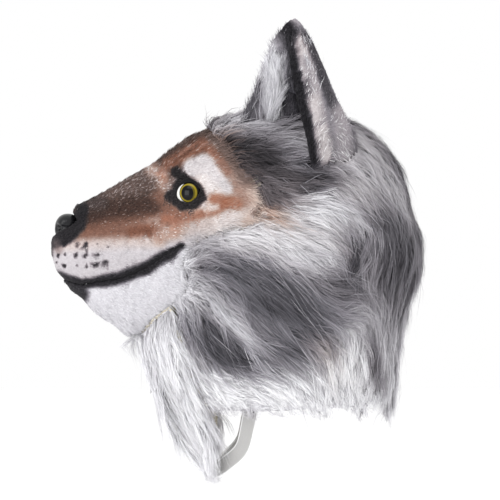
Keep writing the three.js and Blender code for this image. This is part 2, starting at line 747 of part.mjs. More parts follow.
// The eye opening as a prism along the eye's axis, drawn in by a clearance.
function eyePrism(clearance) {
  const long = EYE_HALF_LENGTH - clearance;
  const high = (EYE_HALF_HEIGHT - clearance) * EYE_LID_BULGE;
  const shape = new THREE.Shape();
  shape.moveTo(-long, 0);
  shape.quadraticCurveTo(0, high, long, 0);
  shape.quadraticCurveTo(0, -high, -long, 0);
  const geometry = new THREE.ExtrudeGeometry(shape, {
    depth: 2 * EYE_DEPTH,
    bevelEnabled: false,
    curveSegments: EYE_LID_STEPS,
  });
  geometry.translate(0, 0, -EYE_DEPTH);
  return solidFromGeometry(geometry);
}

function eyePlace() {
  const turn = turnAtLevel(EYE_CENTRE.along, sideZ(EYE_CENTRE.down));
  const position = headPoint(EYE_CENTRE.along, turn);
  const axis = new THREE.Vector3(Math.cos(EYE_TURN * DEG), -Math.sin(EYE_TURN * DEG), 0);
  const rise = new THREE.Vector3(0, 0, 1);
  const run = new THREE.Vector3().crossVectors(rise, axis).normalize();
  const turned = new THREE.Matrix4().makeBasis(run, rise, axis);
  turned.multiply(new THREE.Matrix4().makeRotationZ(EYE_TILT * DEG));
  return turned.setPosition(position);
}

function moved(solid, matrix) {
  return solid.transform(matrix.elements);
}

function eyeDome() {
  const sphere = new THREE.SphereGeometry(EYE_DOME_RADIUS, EYE_DOME_SIDES.round, EYE_DOME_SIDES.tall);
  sphere.translate(0, 0, EYE_STANDOFF - EYE_DOME_RADIUS);
  return eyePrism(GAP).intersect(solidFromGeometry(sphere));
}

// The nose: a rounded block, narrower below, with a nostril dent on each side.
function noseSolid(spread = 0) {
  const ball = new THREE.SphereGeometry(1, NOSE_SIDES.round, NOSE_SIDES.tall);
  const spots = ball.attributes.position;
  for (let index = 0; index < spots.count; index += 1) {
    const x = softPower(spots.getX(index), NOSE_ROUNDNESS.across);
    const y = softPower(spots.getY(index), NOSE_ROUNDNESS.along);
    const z = softPower(spots.getZ(index), NOSE_ROUNDNESS.along);
    const taper = 1 - NOSE_TAPER * THREE.MathUtils.smoothstep(-z, -NOSE_TAPER_START, 1);
    const lean = NOSE_LEAN * z;
    spots.setXYZ(
      index,
      x * taper * (NOSE_HALF_WIDTH + spread),
      y * (NOSE_DEPTH / 2 + spread) + lean,
      z * (NOSE_HEIGHT / 2 + spread),
    );
  }
  return solidFromGeometry(ball);
}

function noseWithNostrils() {
  const dent = new THREE.SphereGeometry(1, NOSTRIL_SIDES.round, NOSTRIL_SIDES.tall);
  dent.scale(NOSTRIL_LENGTH / 2, NOSTRIL_LENGTH / 2, NOSTRIL_HEIGHT / 2);
  dent.translate(
    NOSE_HALF_WIDTH * NOSTRIL_CENTRE.out,
    -(NOSE_DEPTH / 2) * NOSTRIL_CENTRE.ahead,
    -(NOSE_HEIGHT / 2) * NOSTRIL_CENTRE.under,
  );
  const left = solidFromGeometry(dent);
  return noseSolid().subtract(left).subtract(mirrored(left));
}

// The throat band: a flat strip swept along its route inside the neck.
function throatBand() {
  const inset = Math.max(HOOD_WALL, BIB_WALL) + BAND_THICKNESS / 2 + FACET_SAG + GAP;
  const route = grown(neckPoint, even(-inset));
  const bothSides = (pick) => {
    const half = BAND_ROUTE.map((row) => pick(row.down, Math.PI - row.turn * DEG));
    const other = half.slice(0, -1).reverse().map((point) => point.clone().setX(-point.x));
    return new THREE.CatmullRomCurve3([...half, ...other]);
  };
  const curve = bothSides(route);
  const facing = bothSides((down, turn) => normalAt(neckPoint, down, turn));
  const rings = [];
  for (let step = 0; step <= BAND_STEPS; step += 1) {
    const share = step / BAND_STEPS;
    const point = curve.getPoint(share);
    const way = curve.getTangent(share);
    const outward = facing.getPoint(share);
    const across = new THREE.Vector3().crossVectors(way, outward).normalize();
    const flat = new THREE.Vector3().crossVectors(across, way).normalize();
    const corners = [[1, 1], [1, -1], [-1, -1], [-1, 1]];
    rings.push(corners.map(([side, face]) => point.clone()
      .addScaledVector(across, side * BAND_WIDTH / 2)
      .addScaledVector(flat, face * BAND_THICKNESS / 2)));
  }
  return solidFromRings(rings);
}

// Fur layer of the head with its locks, open at the neck and cut to the seams and the ears.
function headFur(cloth, aheadOfFace, aheadOfBib) {
  const layer = headForm(headFurDepth).subtract(below(HOOD_HEM, -HEM_FUR_DROP));
  const base = { length: LOCK_LENGTH, width: LOCK_WIDTH, thickness: LOCK_THICKNESS, sag: LOCK_SAG };
  const heads = HEAD_LOCKS.filter((row) => row.form === 'head');
  const necks = HEAD_LOCKS.filter((row) => row.form === 'neck');
  const combOf = (point) => valueAt(COMB_PLACES, 'comb', point);
  const locks = [
    ...lockRows(heads, () => grown(headPoint, headFurDepth), 0, combOf, base),
    ...lockRows(necks, () => grown(neckPoint, headFurDepth), 0, combOf, base),
  ];
  const ear = earShell(2 * GAP);
  return fuse([layer, ...locks])
    .subtract(cloth)
    .subtract(aheadOfFace)
    .subtract(aheadOfBib)
    .subtract(ear)
    .subtract(mirrored(ear));
}

// Fur of the bib with its hanging locks.
function bibFur(cloth, aheadOfFace, region) {
  const base = { length: BIB_LOCK_LENGTH, width: LOCK_WIDTH, thickness: LOCK_THICKNESS, sag: 0 };
  const form = () => grown(neckPoint, bibFurDepth);
  const locks = lockRows(BIB_LOCKS, form, Math.PI, () => BIB_COMB, base);
  return fuse([headForm(bibFurDepth), ...locks])
    .intersect(region)
    .subtract(cloth)
    .subtract(aheadOfFace);
}

const part = new THREE.Group();
part.name = 'wolf_mask';

function addPiece(name, colour, solid, { position = new THREE.Vector3(), roughness = 0.95 } = {}) {
  const centred = solid.translate([-position.x, -position.y, -position.z]);
  const material = new THREE.MeshStandardMaterial({ color: colour, roughness, metalness: 0 });
  const mesh = new THREE.Mesh(geometryFromSolid(centred), material);
  mesh.name = name;
  mesh.position.copy(position);
  part.add(mesh);
}

const reach = NECK_DROP;
const half = GAP / 2;
const filled = headForm(even(0));
const clothWithGap = headForm(even(GAP), reach);
const plushHollow = headForm(even(-FACE_WALL), reach);
const hoodHollow = headForm(even(-HOOD_WALL), reach);
const bibHollow = headForm(even(-BIB_WALL), reach);

const faceSide = aheadOf(FACE_SEAM, -half);
const furSide = aheadOf(FACE_SEAM, half);
const bibSide = aheadOf(BIB_SEAM, -half);
const hoodSide = aheadOf(BIB_SEAM, half);

const eyeMatrix = eyePlace();
const eyeSocket = moved(eyePrism(0), eyeMatrix);
const nosePosition = new THREE.Vector3(0, sideY(NOSE_CENTRE.along), sideZ(NOSE_CENTRE.down));
const noseSeat = noseSolid(GAP).translate(nosePosition.toArray());

const plush = filled.subtract(plushHollow).intersect(faceSide);
const face = plush
  .subtract(below(MOUTH_LINE, half))
  .subtract(eyeSocket)
  .subtract(mirrored(eyeSocket))
  .subtract(noseSeat);
addPiece('face', COLOURS.face, face);
addPiece('lower_jaw', COLOURS.lower_jaw, plush.intersect(below(MOUTH_LINE, -half)));

const hood = filled
  .subtract(hoodHollow)
  .subtract(furSide)
  .subtract(hoodSide)
  .subtract(below(HOOD_HEM, 0));
addPiece('hood', COLOURS.hood, hood);
addPiece('head_fur', COLOURS.head_fur, headFur(clothWithGap, furSide, hoodSide));

const bib = filled.subtract(bibHollow).intersect(bibSide).subtract(furSide);
addPiece('bib', COLOURS.bib, bib);
addPiece('bib_fur', COLOURS.bib_fur, bibFur(clothWithGap, furSide, bibSide));

const sides = [
  { name: 'left', place: (solid) => solid, sign: 1 },
  { name: 'right', place: mirrored, sign: -1 },
];
const earRoot = new THREE.Vector3(EAR_OUT, sideY(EAR_ROOT.along), sideZ(EAR_ROOT.down));
const eyeCentre = new THREE.Vector3().setFromMatrixPosition(eyeMatrix);
const ear = earShell().subtract(clothWithGap);
const tuft = earTuft();
const eye = moved(eyeDome(), eyeMatrix);
for (const { name, place, sign } of sides) {
  const toSide = (point) => new THREE.Vector3(sign * point.x, point.y, point.z);
  addPiece(`ear_${name}`, COLOURS.ear, place(ear), { position: toSide(earRoot) });
  addPiece(`ear_tuft_${name}`, COLOURS.ear_tuft, place(tuft), { position: toSide(earRoot) });
  addPiece(`eye_${name}`, COLOURS.eye, place(eye), { position: toSide(eyeCentre), roughness: 0.1 });
}

const nose = noseWithNostrils().translate(nosePosition.toArray());
addPiece('nose', COLOURS.nose, nose, { position: nosePosition, roughness: 0.2 });
addPiece('throat_band', COLOURS.throat_band, throatBand());

export default part;
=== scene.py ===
"""Full-head wolf mask: airbrushed plush face, long faux fur hood and bib, ears, eyes, nose and throat band.

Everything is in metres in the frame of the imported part: the nose points to -Y, the wearer's left is +X and
the origin is the seat on the wearer's crown. The coat pattern and the lie of the fur are charted in side view,
in millimetres right of and below the corner of a 500 mm sheet, with the seat at CHART_SEAT.
"""
import json
import logging
import math
from dataclasses import dataclass, field
from enum import Enum

import bmesh
import bpy
import numpy as np
from mathutils import Matrix, Vector
from mathutils.bvhtree import BVHTree
from mathutils.kdtree import KDTree

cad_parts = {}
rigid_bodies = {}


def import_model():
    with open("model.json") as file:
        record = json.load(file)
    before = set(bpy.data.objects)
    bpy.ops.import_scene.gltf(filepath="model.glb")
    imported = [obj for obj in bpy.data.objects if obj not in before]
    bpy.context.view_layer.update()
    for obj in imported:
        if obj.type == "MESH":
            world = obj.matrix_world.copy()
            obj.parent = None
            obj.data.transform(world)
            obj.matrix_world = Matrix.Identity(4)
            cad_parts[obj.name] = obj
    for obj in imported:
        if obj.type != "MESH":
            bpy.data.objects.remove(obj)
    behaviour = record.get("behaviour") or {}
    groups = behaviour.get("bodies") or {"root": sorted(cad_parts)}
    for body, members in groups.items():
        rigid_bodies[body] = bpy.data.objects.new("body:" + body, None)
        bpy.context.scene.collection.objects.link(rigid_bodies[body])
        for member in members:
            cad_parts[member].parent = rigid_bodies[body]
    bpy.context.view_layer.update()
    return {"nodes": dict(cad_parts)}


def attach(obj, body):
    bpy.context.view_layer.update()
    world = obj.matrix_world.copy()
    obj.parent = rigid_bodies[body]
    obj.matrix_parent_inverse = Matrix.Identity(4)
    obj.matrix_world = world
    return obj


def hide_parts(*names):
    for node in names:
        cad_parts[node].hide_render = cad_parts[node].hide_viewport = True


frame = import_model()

LOG = logging.getLogger("wolf_mask")
MM = 0.001
CHART_SEAT = (300.0, 122.0)
CHART_MIDDLE = (250.0, 250.0)
VIEWING_DISTANCE = 2780.0
SEED = 11
# Points of a strand, and steps of the middle line of a lock.
STRAND_POINTS = 4
AXIS_STEPS = 6
# Where on the chart the nape's fur bulges, how far around and by how much, from where it hangs lower than the
# hem, and how much lower. SHORTEST_LOCK is the least length that the hem leaves. All but the gain in mm.
NAPE_MIDDLE = (420, 262)
NAPE_REACH = (24, 40)
NAPE_GAIN = 1.5
NAPE_FRONT = 388
NAPE_HANG = 20
SHORTEST_LOCK = 9
FUR_MAP = "OFBake"
SKIN_MAP = "Coat"
TONE_LIMITS = (0.02, 0.98)
# Middle lines of muzzle, head and neck, and of the neck alone. The outer side of a skin faces away from them.
CORE = np.array([[0, -230, -112], [0, -120, -110], [0, -10, -105], [0, -10, -330]]) * MM
NECK = np.array([[0, -60, -120], [0, -60, -390]]) * MM


class Body(Enum):
    """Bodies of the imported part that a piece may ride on."""

    MASK = "root"


class Slot(Enum):
    """Material slots of the record."""

    FACE = "face_plush"
    JAW = "jaw_plush"
    BACKING = "fur_backing"
    HEAD_FUR = "head_fur"
    BIB_FUR = "bib_fur"
    EAR_FUR = "ear_fur"
    EAR_TUFT = "ear_tuft"
    EYE = "eye_resin"
    NOSE = "nose_resin"
    BAND = "band_fabric"


@dataclass(frozen=True)
class Marking:
    """One marking of the coat, drawn along a path in side view.

    tone is the sRGB lightness from 0 to 1. warmth runs from 0, lilac grey, over 0.5, brown, to 1, rust.
    half is the half width in millimetres, soft the share of it over which the edge fades, and fleck the share
    of pale hairs mixed in.
    """

    name: str
    path: tuple[tuple[float, float], ...]
    half: float
    tone: float
    warmth: float = 0.1
    strength: float = 1.0
    soft: float = 0.5
    fleck: float = 0.0


@dataclass(frozen=True)
class LiePlace:
    """How the fur lies at a place in side view: degrees from straight back (0) towards straight down (90)."""

    x: float
    y: float
    degrees: float
    length: float


def lie_places(*rows: tuple[float, float, float, float]) -> tuple[LiePlace, ...]:
    """Make places of lie from rows of x, y, degrees and length."""
    return tuple(LiePlace(*row) for row in rows)


FACE_MARKINGS = (
    Marking("white muzzle", ((55, 262), (100, 258), (150, 252), (180, 242)), 26, 0.73, 0.12),
    Marking("cheek front", ((176, 234), (192, 228), (206, 224)), 7, 0.70, 0.42, 0.8, 0.9),
    Marking("tinted lip", ((58, 246), (90, 244), (130, 242), (160, 243)), 5, 0.72, 0.55, 0.6, 1.0),
    Marking("snout grey brown", ((82, 208), (120, 190), (160, 170), (180, 150)), 24, 0.21, 0.5, fleck=0.14),
    Marking("forehead brown", ((160, 158), (200, 130), (215, 120)), 14, 0.22, 0.6, fleck=0.08),
    Marking("snout speckle", ((112, 188), (130, 185), (152, 177)), 12, 0.31, 0.45, 0.8, 0.8, 0.38),
    Marking("muzzle brown", ((88, 222), (130, 216), (166, 206)), 10, 0.28, 0.70, 0.95, 0.7, 0.04),
    Marking("snout dark stripe", ((84, 217), (105, 210), (130, 207), (158, 203)),
            8.5, 0.18, 0.6, 0.95, 0.7, 0.04),
    Marking("snout dark tip", ((70, 206), (88, 204), (100, 203)), 7, 0.22, 0.35, 0.8, 0.8, 0.12),
    Marking("rust band", ((76, 233), (100, 232), (130, 231), (162, 226), (178, 213)),
            6.5, 0.34, 0.72, 0.9, 0.8, 0.03),
    Marking("rust cheek", ((160, 236), (174, 230), (184, 215)), 7.5, 0.52, 0.82, 0.8, 0.9, 0.08),
    Marking("cheek speckle", ((156, 226), (164, 232)), 7, 0.62, 0.5, 0.75, 0.8, 0.2),
    Marking("rust tick one", ((147, 226), (149, 236)), 1.6, 0.33, 0.8, 0.8, 1.0),
    Marking("rust tick two", ((153, 222), (154, 232)), 1.4, 0.36, 0.75, 0.7, 1.0),
    Marking("rust tick three", ((160, 220), (161, 228)), 1.3, 0.38, 0.7, 0.6, 1.0),
    Marking("rust band rear", ((132, 232), (152, 230)), 5, 0.29, 0.85, 0.8, 0.9),
    Marking("rust brow", ((168, 164), (183, 155), (203, 144), (217, 154), (226, 170)),
            6, 0.38, 0.86, 0.9, 0.7, 0.10),
    Marking("pale brow streak", ((178, 156), (188, 149), (199, 141)), 1.6, 0.60, 0.7, 0.5, 1.0),
    Marking("pale brow streak two", ((185, 160), (197, 151), (206, 145)), 1.6, 0.70, 0.6, 0.5, 1.0),
    Marking("dark brow streak", ((174, 162), (188, 152), (201, 141)), 1.5, 0.27, 0.8, 0.75, 1.0),
    Marking("dark brow streak two", ((182, 163), (194, 154), (205, 147)), 1.5, 0.30, 0.85, 0.75, 1.0),
    Marking("temple edge", ((209, 128), (229, 154), (247, 182)), 8, 0.33, 0.45, 0.9, 0.8),
    Marking("peach edge", ((250, 194), (260, 208), (250, 222)), 8, 0.74, 0.75, 0.8, 1.0),
    Marking("rust temple", ((222, 168), (234, 186), (244, 202)), 7, 0.50, 0.66, 0.8, 0.8),
    Marking("white brow patch", ((192, 168), (203, 164), (214, 179), (222, 189)), 10, 0.80, 0.2, 1.0, 0.35),
    Marking("white inner patch", ((202, 180), (216, 192)), 6, 0.85, 0.35, 0.8, 0.6),
    Marking("rust under eye", ((165, 219), (190, 217), (212, 211), (230, 203)), 5, 0.45, 0.85, 0.95, 0.7),
    Marking("rust wedge", ((214, 199), (228, 201), (236, 204)), 6, 0.46, 0.95, 0.9, 0.7),
    Marking("white under eye", ((206, 209), (216, 207)), 3, 0.84, 0.4, 0.8, 0.8),
    Marking("pale corner", ((150, 168), (162, 176), (164, 186)), 6, 0.70, 0.6, 0.75, 0.9, 0.3),
    Marking("rust corner", ((160, 172), (166, 182)), 3, 0.5, 0.9, 0.7, 1.0),
    Marking("grey corner", ((168, 186), (174, 180)), 4, 0.42, 0.4, 0.8, 0.8, 0.3),
    Marking("rust before eye", ((158, 196), (168, 206), (180, 214)), 6, 0.39, 0.70, 0.75, 0.9, 0.08),
    Marking("eye black", ((186, 190), (190, 195)), 14.0, 0.10, 0.2, 1.0, 0.16),
    Marking("eye black lower", ((171, 196), (182, 204), (194, 203)), 6.5, 0.11, 0.2, 1.0, 0.25),
    Marking("eye black upper", ((175, 172), (183, 177)), 5, 0.09, 0.2, 1.0, 0.25),
    Marking("eye black rear", ((197, 187), (202, 198)), 4.5, 0.11, 0.2, 1.0, 0.4),
    Marking("nose surround", ((82, 208), (80, 224), (68, 238), (52, 243)), 6, 0.11, 0.1, 1.0, 0.4),
    Marking("nose seat", ((72, 222), (62, 234)), 9, 0.11, 0.1, 1.0, 0.3),
    Marking("philtrum", ((49, 240), (50, 256)), 3, 0.18, 0.15, 0.95, 0.6),
    Marking("nose lower shade", ((56, 243), (58, 250)), 4, 0.35, 0.3, 0.6, 0.9),
)

WHISKER_SPOTS = (
    ((63.0, 246.5), (65.5, 244.5), 1.8), ((75.0, 246.0), (77.0, 243.5), 2.0),
    ((84.0, 246.0), (87.0, 242.5), 2.2), ((95.5, 243.0), (97.5, 246.0), 1.7),
    ((105.0, 246.0), (108.5, 247.0), 1.5), ((57.0, 257.0), (59.0, 254.0), 1.5),
    ((64.0, 255.0), (66.0, 254.0), 1.4), ((75.0, 257.5), (77.0, 254.0), 2.0),
    ((83.0, 257.0), (87.5, 253.5), 2.2), ((94.0, 258.0), (98.5, 253.5), 2.6),
    ((56.0, 263.0), (57.5, 262.0), 1.1), ((62.5, 265.0), (65.5, 266.5), 1.9),
    ((76.0, 264.5), (77.5, 264.5), 1.0), ((85.0, 264.5), (86.5, 267.5), 1.7),
    ((94.0, 266.0), (97.5, 263.0), 2.6), ((101.0, 265.0), (107.5, 261.0), 2.9),
)

COAT_MARKINGS = (
    Marking("lilac under the ear", ((284, 146), (291, 156), (298, 170)), 7, 0.66, 0.0, 0.85, 0.9),
    Marking("pale behind eye", ((240, 205), (252, 212), (275, 222)), 9, 0.85, 0.45, 0.8, 0.9),
    Marking("rust fan", ((262, 207), (272, 212), (284, 216)), 4, 0.58, 0.85, 0.85, 0.8),
    Marking("crown grey", ((205, 122), (235, 125), (262, 120), (280, 110)), 24, 0.56, 0.05),
    Marking("crown dark edge", ((208, 120), (228, 109), (250, 100), (262, 84)), 7, 0.30, 0.2, 0.8, 0.7),
    Marking("crown pale swirl", ((222, 128), (238, 122), (250, 128)), 9, 0.82, 0.05, 0.8, 0.9),
    Marking("temple dark", ((224, 150), (248, 157), (268, 164)), 15, 0.10, 0.1, 0.97, 0.6),
    Marking("temple dark low", ((250, 187), (275, 192), (300, 184)), 12, 0.38, 0.15, 0.85, 0.7),
    Marking("temple streak", ((232, 158), (262, 170), (300, 180)), 7, 0.27, 0.12, 0.7, 1.0),
    Marking("temple brown edge", ((272, 211), (290, 204), (302, 193)), 3.5, 0.38, 0.55, 0.85, 0.6),
    Marking("under the ear dark", ((300, 182), (312, 186), (326, 178)), 9, 0.26, 0.1, 0.9, 0.6),
    Marking("cheek white", ((190, 234), (230, 231), (270, 231), (310, 226), (335, 232)), 22, 0.85, 0.12),
    Marking("temple low edge", ((252, 194), (272, 200), (294, 192), (316, 184)), 9, 0.31, 0.15, 0.9, 0.6),
    Marking("temple brown line", ((268, 211), (288, 204), (303, 194)), 3, 0.36, 0.55, 0.8, 0.7),
    Marking("rust fan rear", ((256, 209), (268, 216), (282, 220)), 4, 0.50, 0.85, 0.75, 0.9),
    Marking("under ear black", ((309, 168), (318, 181), (306, 192)), 8, 0.14, 0.03, 0.9, 0.7),
    Marking("behind ear root", ((330, 172), (341, 162)), 9, 0.46, 0.05, 0.8, 0.9),
    Marking("cheek white rear", ((300, 205), (325, 200), (345, 215)), 13, 0.86, 0.05, 0.9, 0.8),
    Marking("cheek white low", ((286, 250), (305, 252), (334, 258)), 11, 0.82, 0.05, 0.9, 0.8),
    Marking("behind the ear grey", ((346, 140), (354, 165), (350, 190)), 16, 0.80, 0.12),
    Marking("back pale", ((360, 160), (382, 180), (400, 195)), 12, 0.75, 0.08, 0.85, 0.9),
    Marking("back dark line", ((337, 110), (362, 121), (389, 146), (410, 180), (420, 215), (424, 240)),
            8, 0.25, 0.05,
            0.85, 0.6),
    Marking("back grey", ((374, 220), (392, 225), (400, 250), (400, 280)), 17, 0.33, 0.03, 0.95, 0.7),
    Marking("back swirl dark", ((360, 205), (380, 196), (396, 210)), 5, 0.34, 0.05, 0.7, 0.9),
    Marking("back dark knot", ((384, 262), (396, 268)), 9, 0.19, 0.05, 0.9, 0.7),
    Marking("ruff dark", ((353, 238), (354, 256), (348, 274), (336, 290)), 14, 0.22, 0.03, 0.95, 0.7),
    Marking("ruff dark spot", ((336, 290), (345, 296)), 7, 0.47, 0.05, 0.7, 0.9),
    Marking("nape grey", ((406, 296), (402, 330), (402, 380)), 14, 0.78, 0.05, 0.9, 0.8),
    Marking("cheek grey", ((200, 252), (218, 254), (240, 262)), 12, 0.60, 0.05, 0.85, 0.8),
    Marking("jaw seam white", ((184, 246), (182, 266), (188, 290), (176, 306)), 7, 0.90, 0.05, 0.95, 0.7),
    Marking("cheek dark one", ((219, 259), (236, 262), (258, 266)), 5.5, 0.23, 0.02, 0.9, 0.8),
    Marking("cheek dark two", ((205, 268), (225, 270), (248, 278)), 5, 0.29, 0.02, 0.85, 0.8),
    Marking("cheek swirl", ((196, 282), (206, 276), (216, 282), (224, 292)), 5, 0.68, 0.02, 0.7, 0.9),
    Marking("big patch", ((248, 282), (270, 296), (295, 308), (312, 320)), 25, 0.40, 0.0, 0.97, 0.6),
    Marking("big patch core", ((262, 302), (285, 302), (308, 312)), 12, 0.21, 0.0, 0.9, 0.8),
    Marking("big patch upper", ((270, 276), (292, 284), (304, 300)), 9, 0.32, 0.0, 0.8, 0.8),
    Marking("big patch lower", ((262, 342), (292, 350), (318, 345)), 12, 0.26, 0.0, 0.9, 0.7),
    Marking("pale streak", ((208, 296), (236, 326), (262, 362)), 6, 0.82, 0.02, 0.85, 0.9),
    Marking("low patch", ((200, 328), (215, 344), (236, 360), (258, 368)), 14, 0.28, 0.0, 0.97, 0.6),
    Marking("low patch core", ((208, 334), (224, 346), (244, 362)), 10, 0.20, 0.0, 0.9, 0.7),
    Marking("low patch start", ((182, 316), (196, 322)), 9, 0.58, 0.0, 0.8, 0.8),
    Marking("neck white", ((190, 378), (230, 388), (280, 382), (335, 372)), 16, 0.93, 0.05),
    Marking("neck cream", ((325, 352), (345, 350)), 13, 0.95, 0.4, 0.85, 0.8),
    Marking("curtain white", ((350, 335), (356, 365), (360, 398)), 13, 0.95, 0.08, 0.95, 0.7),
    Marking("curtain top", ((345, 318), (365, 312), (382, 320)), 9, 0.72, 0.05, 0.8, 0.8),
    Marking("curtain dark", ((371, 336), (373, 350), (376, 366)), 7, 0.30, 0.05, 0.9, 0.5),
    Marking("curtain pale rear", ((384, 340), (390, 370), (394, 400)), 6, 0.86, 0.05, 0.8, 0.8),
    Marking("neck white front", ((187, 352), (195, 376), (206, 396)), 7, 0.88, 0.05, 0.85, 0.8),
    Marking("back pale curl", ((366, 230), (378, 246), (391, 240)), 6, 0.64, 0.05, 0.75, 0.8),
    Marking("hem white", ((200, 396), (260, 402), (330, 404), (368, 402), (396, 404), (402, 425)),
            12, 0.93, 0.05),
    Marking("rust seam edge", ((214, 142), (228, 166), (243, 186), (254, 204), (264, 216)),
            7, 0.60, 0.75, 0.8, 1.0),
    Marking("ear foot rim", ((308, 160), (313, 178), (316, 192)), 5, 0.14, 0.02, 0.95, 0.5),
)

BIB_MARKINGS = (
    Marking("bib white", ((140, 340), (200, 470)), 60, 0.88, 0.05),
    Marking("bib fringe", ((214, 404), (222, 418)), 5, 0.62, 0.5, 0.7, 0.8),
)

EAR_MARKINGS = (
    Marking("ear grey", ((300, 60), (315, 130)), 60, 0.48, 0.05),
    Marking("ear tip pale", ((291, 19), (298, 23)), 4, 0.66, 0.1, 0.8, 0.6),
    Marking("ear tip dark", ((288, 30), (297, 44), (291, 60)), 9, 0.12, 0.05, 0.97, 0.6, 0.12),
    Marking("ear front grey", ((272, 46), (266, 62), (262, 78)), 6, 0.74, 0.03, 0.85, 0.8, 0.3),
    Marking("concha dark", ((286, 80), (287, 105), (290, 135)), 12, 0.24, 0.03, 0.95, 0.6),
    Marking("ear light band", ((303, 40), (309, 80), (320, 125), (328, 165)), 7, 0.78, 0.22, 0.95, 0.6, 0.15),
    Marking("ear band flecks", ((306, 60), (312, 90)), 5, 0.50, 0.05, 0.6, 1.0, 0.4),
    Marking("ear back edge", ((306, 34), (318, 62), (328, 92), (338, 116)), 4.5, 0.22, 0.05, 0.9, 0.6, 0.2),
    Marking("ear front streaks", ((262, 86), (252, 106), (245, 126)), 6, 0.30, 0.03, 0.8, 0.9, 0.2),
    Marking("ear rim black", ((291, 60), (298, 88), (304, 115), (310, 145), (315, 190)),
            6.5, 0.10, 0.02, 1.0, 0.35),
    Marking("ear root dark", ((316, 172), (328, 170)), 7, 0.30, 0.05, 0.85, 0.7),
    Marking("ear rear grey", ((340, 112), (344, 140), (346, 170)), 8, 0.64, 0.12, 0.9, 0.7, 0.2),
)

TUFT_MARKINGS = (
    Marking("tuft tip dark", ((288, 28), (292, 44), (294, 62)), 9, 0.13, 0.0),
    Marking("tuft pale", ((285, 66), (277, 90), (271, 120), (275, 140)), 7, 0.84, 0.0, 0.95, 0.8),
    Marking("tuft grey", ((260, 100), (258, 120)), 6, 0.48, 0.0, 0.8, 0.8),
    Marking("tuft dark", ((292, 70), (293, 100), (292, 135)), 7, 0.22, 0.0, 0.95, 0.6),
)

LIE_PLACES = lie_places(
    (205, 130, -25, 16), (225, 118, -25, 28), (250, 105, -30, 34), (240, 130, -18, 34), (270, 125, -40, 32),
    (275, 145, -8, 36), (212, 150, 5, 16), (230, 155, 12, 30), (260, 162, 25, 36), (290, 175, 22, 34),
    (240, 185, 35, 20), (262, 196, 45, 28), (280, 203, 25, 26), (300, 190, -5, 30), (320, 180, -10, 26),
    (200, 225, 5, 20), (240, 215, 8, 26), (270, 225, 12, 42), (300, 235, 12, 48), (330, 245, 30, 48),
    (350, 200, 35, 40), (345, 150, 45, 36), (345, 118, 20, 36), (365, 130, 38, 42), (385, 155, 52, 46),
    (405, 195, 62, 48), (420, 235, 64, 58), (372, 180, 50, 42), (380, 205, 35, 40), (395, 235, 80, 48),
    (372, 245, 118, 46), (355, 265, 105, 46), (404, 268, 72, 58), (404, 320, 90, 60), (402, 370, 90, 56),
    (403, 395, 80, 56), (186, 252, -38, 14), (198, 262, -12, 24), (215, 252, 4, 34), (240, 258, 20, 42),
    (225, 275, 22, 42), (192, 280, -25, 16), (204, 284, 30, 28), (220, 298, 50, 44), (255, 285, 40, 50),
    (285, 285, 45, 52), (310, 295, 55, 50), (310, 325, 20, 46), (280, 325, 40, 50), (250, 320, 48, 52),
    (335, 300, 5, 42), (350, 320, -5, 34), (340, 285, -8, 34), (180, 312, 42, 26), (195, 325, 50, 40),
    (220, 345, 48, 50), (245, 362, 35, 46), (195, 350, 66, 34), (205, 385, 24, 34), (235, 390, 8, 38),
    (265, 382, 20, 40), (295, 350, 28, 44), (300, 385, 55, 40), (330, 370, 78, 44), (348, 340, 92, 56),
    (358, 370, 98, 50), (364, 395, 92, 40), (374, 330, 75, 50), (378, 360, 80, 50), (390, 345, 76, 56),
    (394, 390, 70, 44),
)

BIB_LIE_PLACES = lie_places(
    (135, 338, 70, 40), (150, 325, 62, 44), (150, 375, 68, 58), (165, 400, 64, 62), (180, 340, 66, 56),
    (185, 420, 60, 48), (195, 395, 68, 52), (198, 445, 66, 32), (202, 465, 68, 20), (208, 482, 76, 12),
)

PLUSH_LIE_PLACES = lie_places(
    (60, 250, 20, 1.8), (85, 256, 12, 2.0), (75, 210, -30, 3.0), (100, 205, -15, 3.6), (130, 190, -25, 4.4),
    (160, 165, -30, 4.6), (195, 135, -32, 5.5), (100, 255, 8, 3.2), (130, 235, 0, 3.4), (165, 235, 10, 4.2),
    (170, 205, 20, 3.4), (205, 170, 10, 4.4), (222, 185, 22, 6.0), (195, 215, -8, 4.6),
    (230, 205, -10, 6.5), (185, 232, 12, 6.0), (90, 275, 12, 3.4), (130, 272, -12, 3.4),
    (175, 250, -15, 4.6), (80, 290, 40, 3.0), (110, 305, 35, 4.0), (130, 330, 50, 5.0), (150, 290, 35, 4.4),
    (170, 275, 20, 5.0), (185, 280, 10, 6.0),
)

BIB_SEAM = ((172, 303), (177, 312), (180, 326), (185, 345), (193, 370), (203, 397))
BIB_TOP = ((130, 338), (148, 320), (160, 310), (174, 302), (178, 316), (182, 332))
FACE_EDGE = (
    (204, 122), (225, 151), (245, 180), (258, 206), (252, 223), (225, 229), (196, 239), (182, 262),
    (187, 288), (177, 300),
)
EDGE_LIE_PLACES = lie_places(
    (205, 125, -20, 12), (222, 150, 5, 13), (240, 178, 22, 15), (255, 205, 25, 18), (245, 222, 18, 18),
    (220, 229, 12, 16), (196, 238, 8, 14), (184, 262, 0, 10), (185, 285, 25, 9),
)

EAR_LIE_PLACES = lie_places(
    (290, 22, -80, 2), (275, 45, -100, 8), (268, 70, -105, 10), (255, 95, -75, 12), (288, 60, -85, 6),
    (305, 60, -80, 5), (316, 60, -75, 3), (326, 90, -70, 3), (310, 100, -78, 6), (318, 150, -70, 8),
    (334, 110, -60, 5), (336, 140, 60, 10), (335, 170, 50, 14), (290, 130, -85, 7),
)

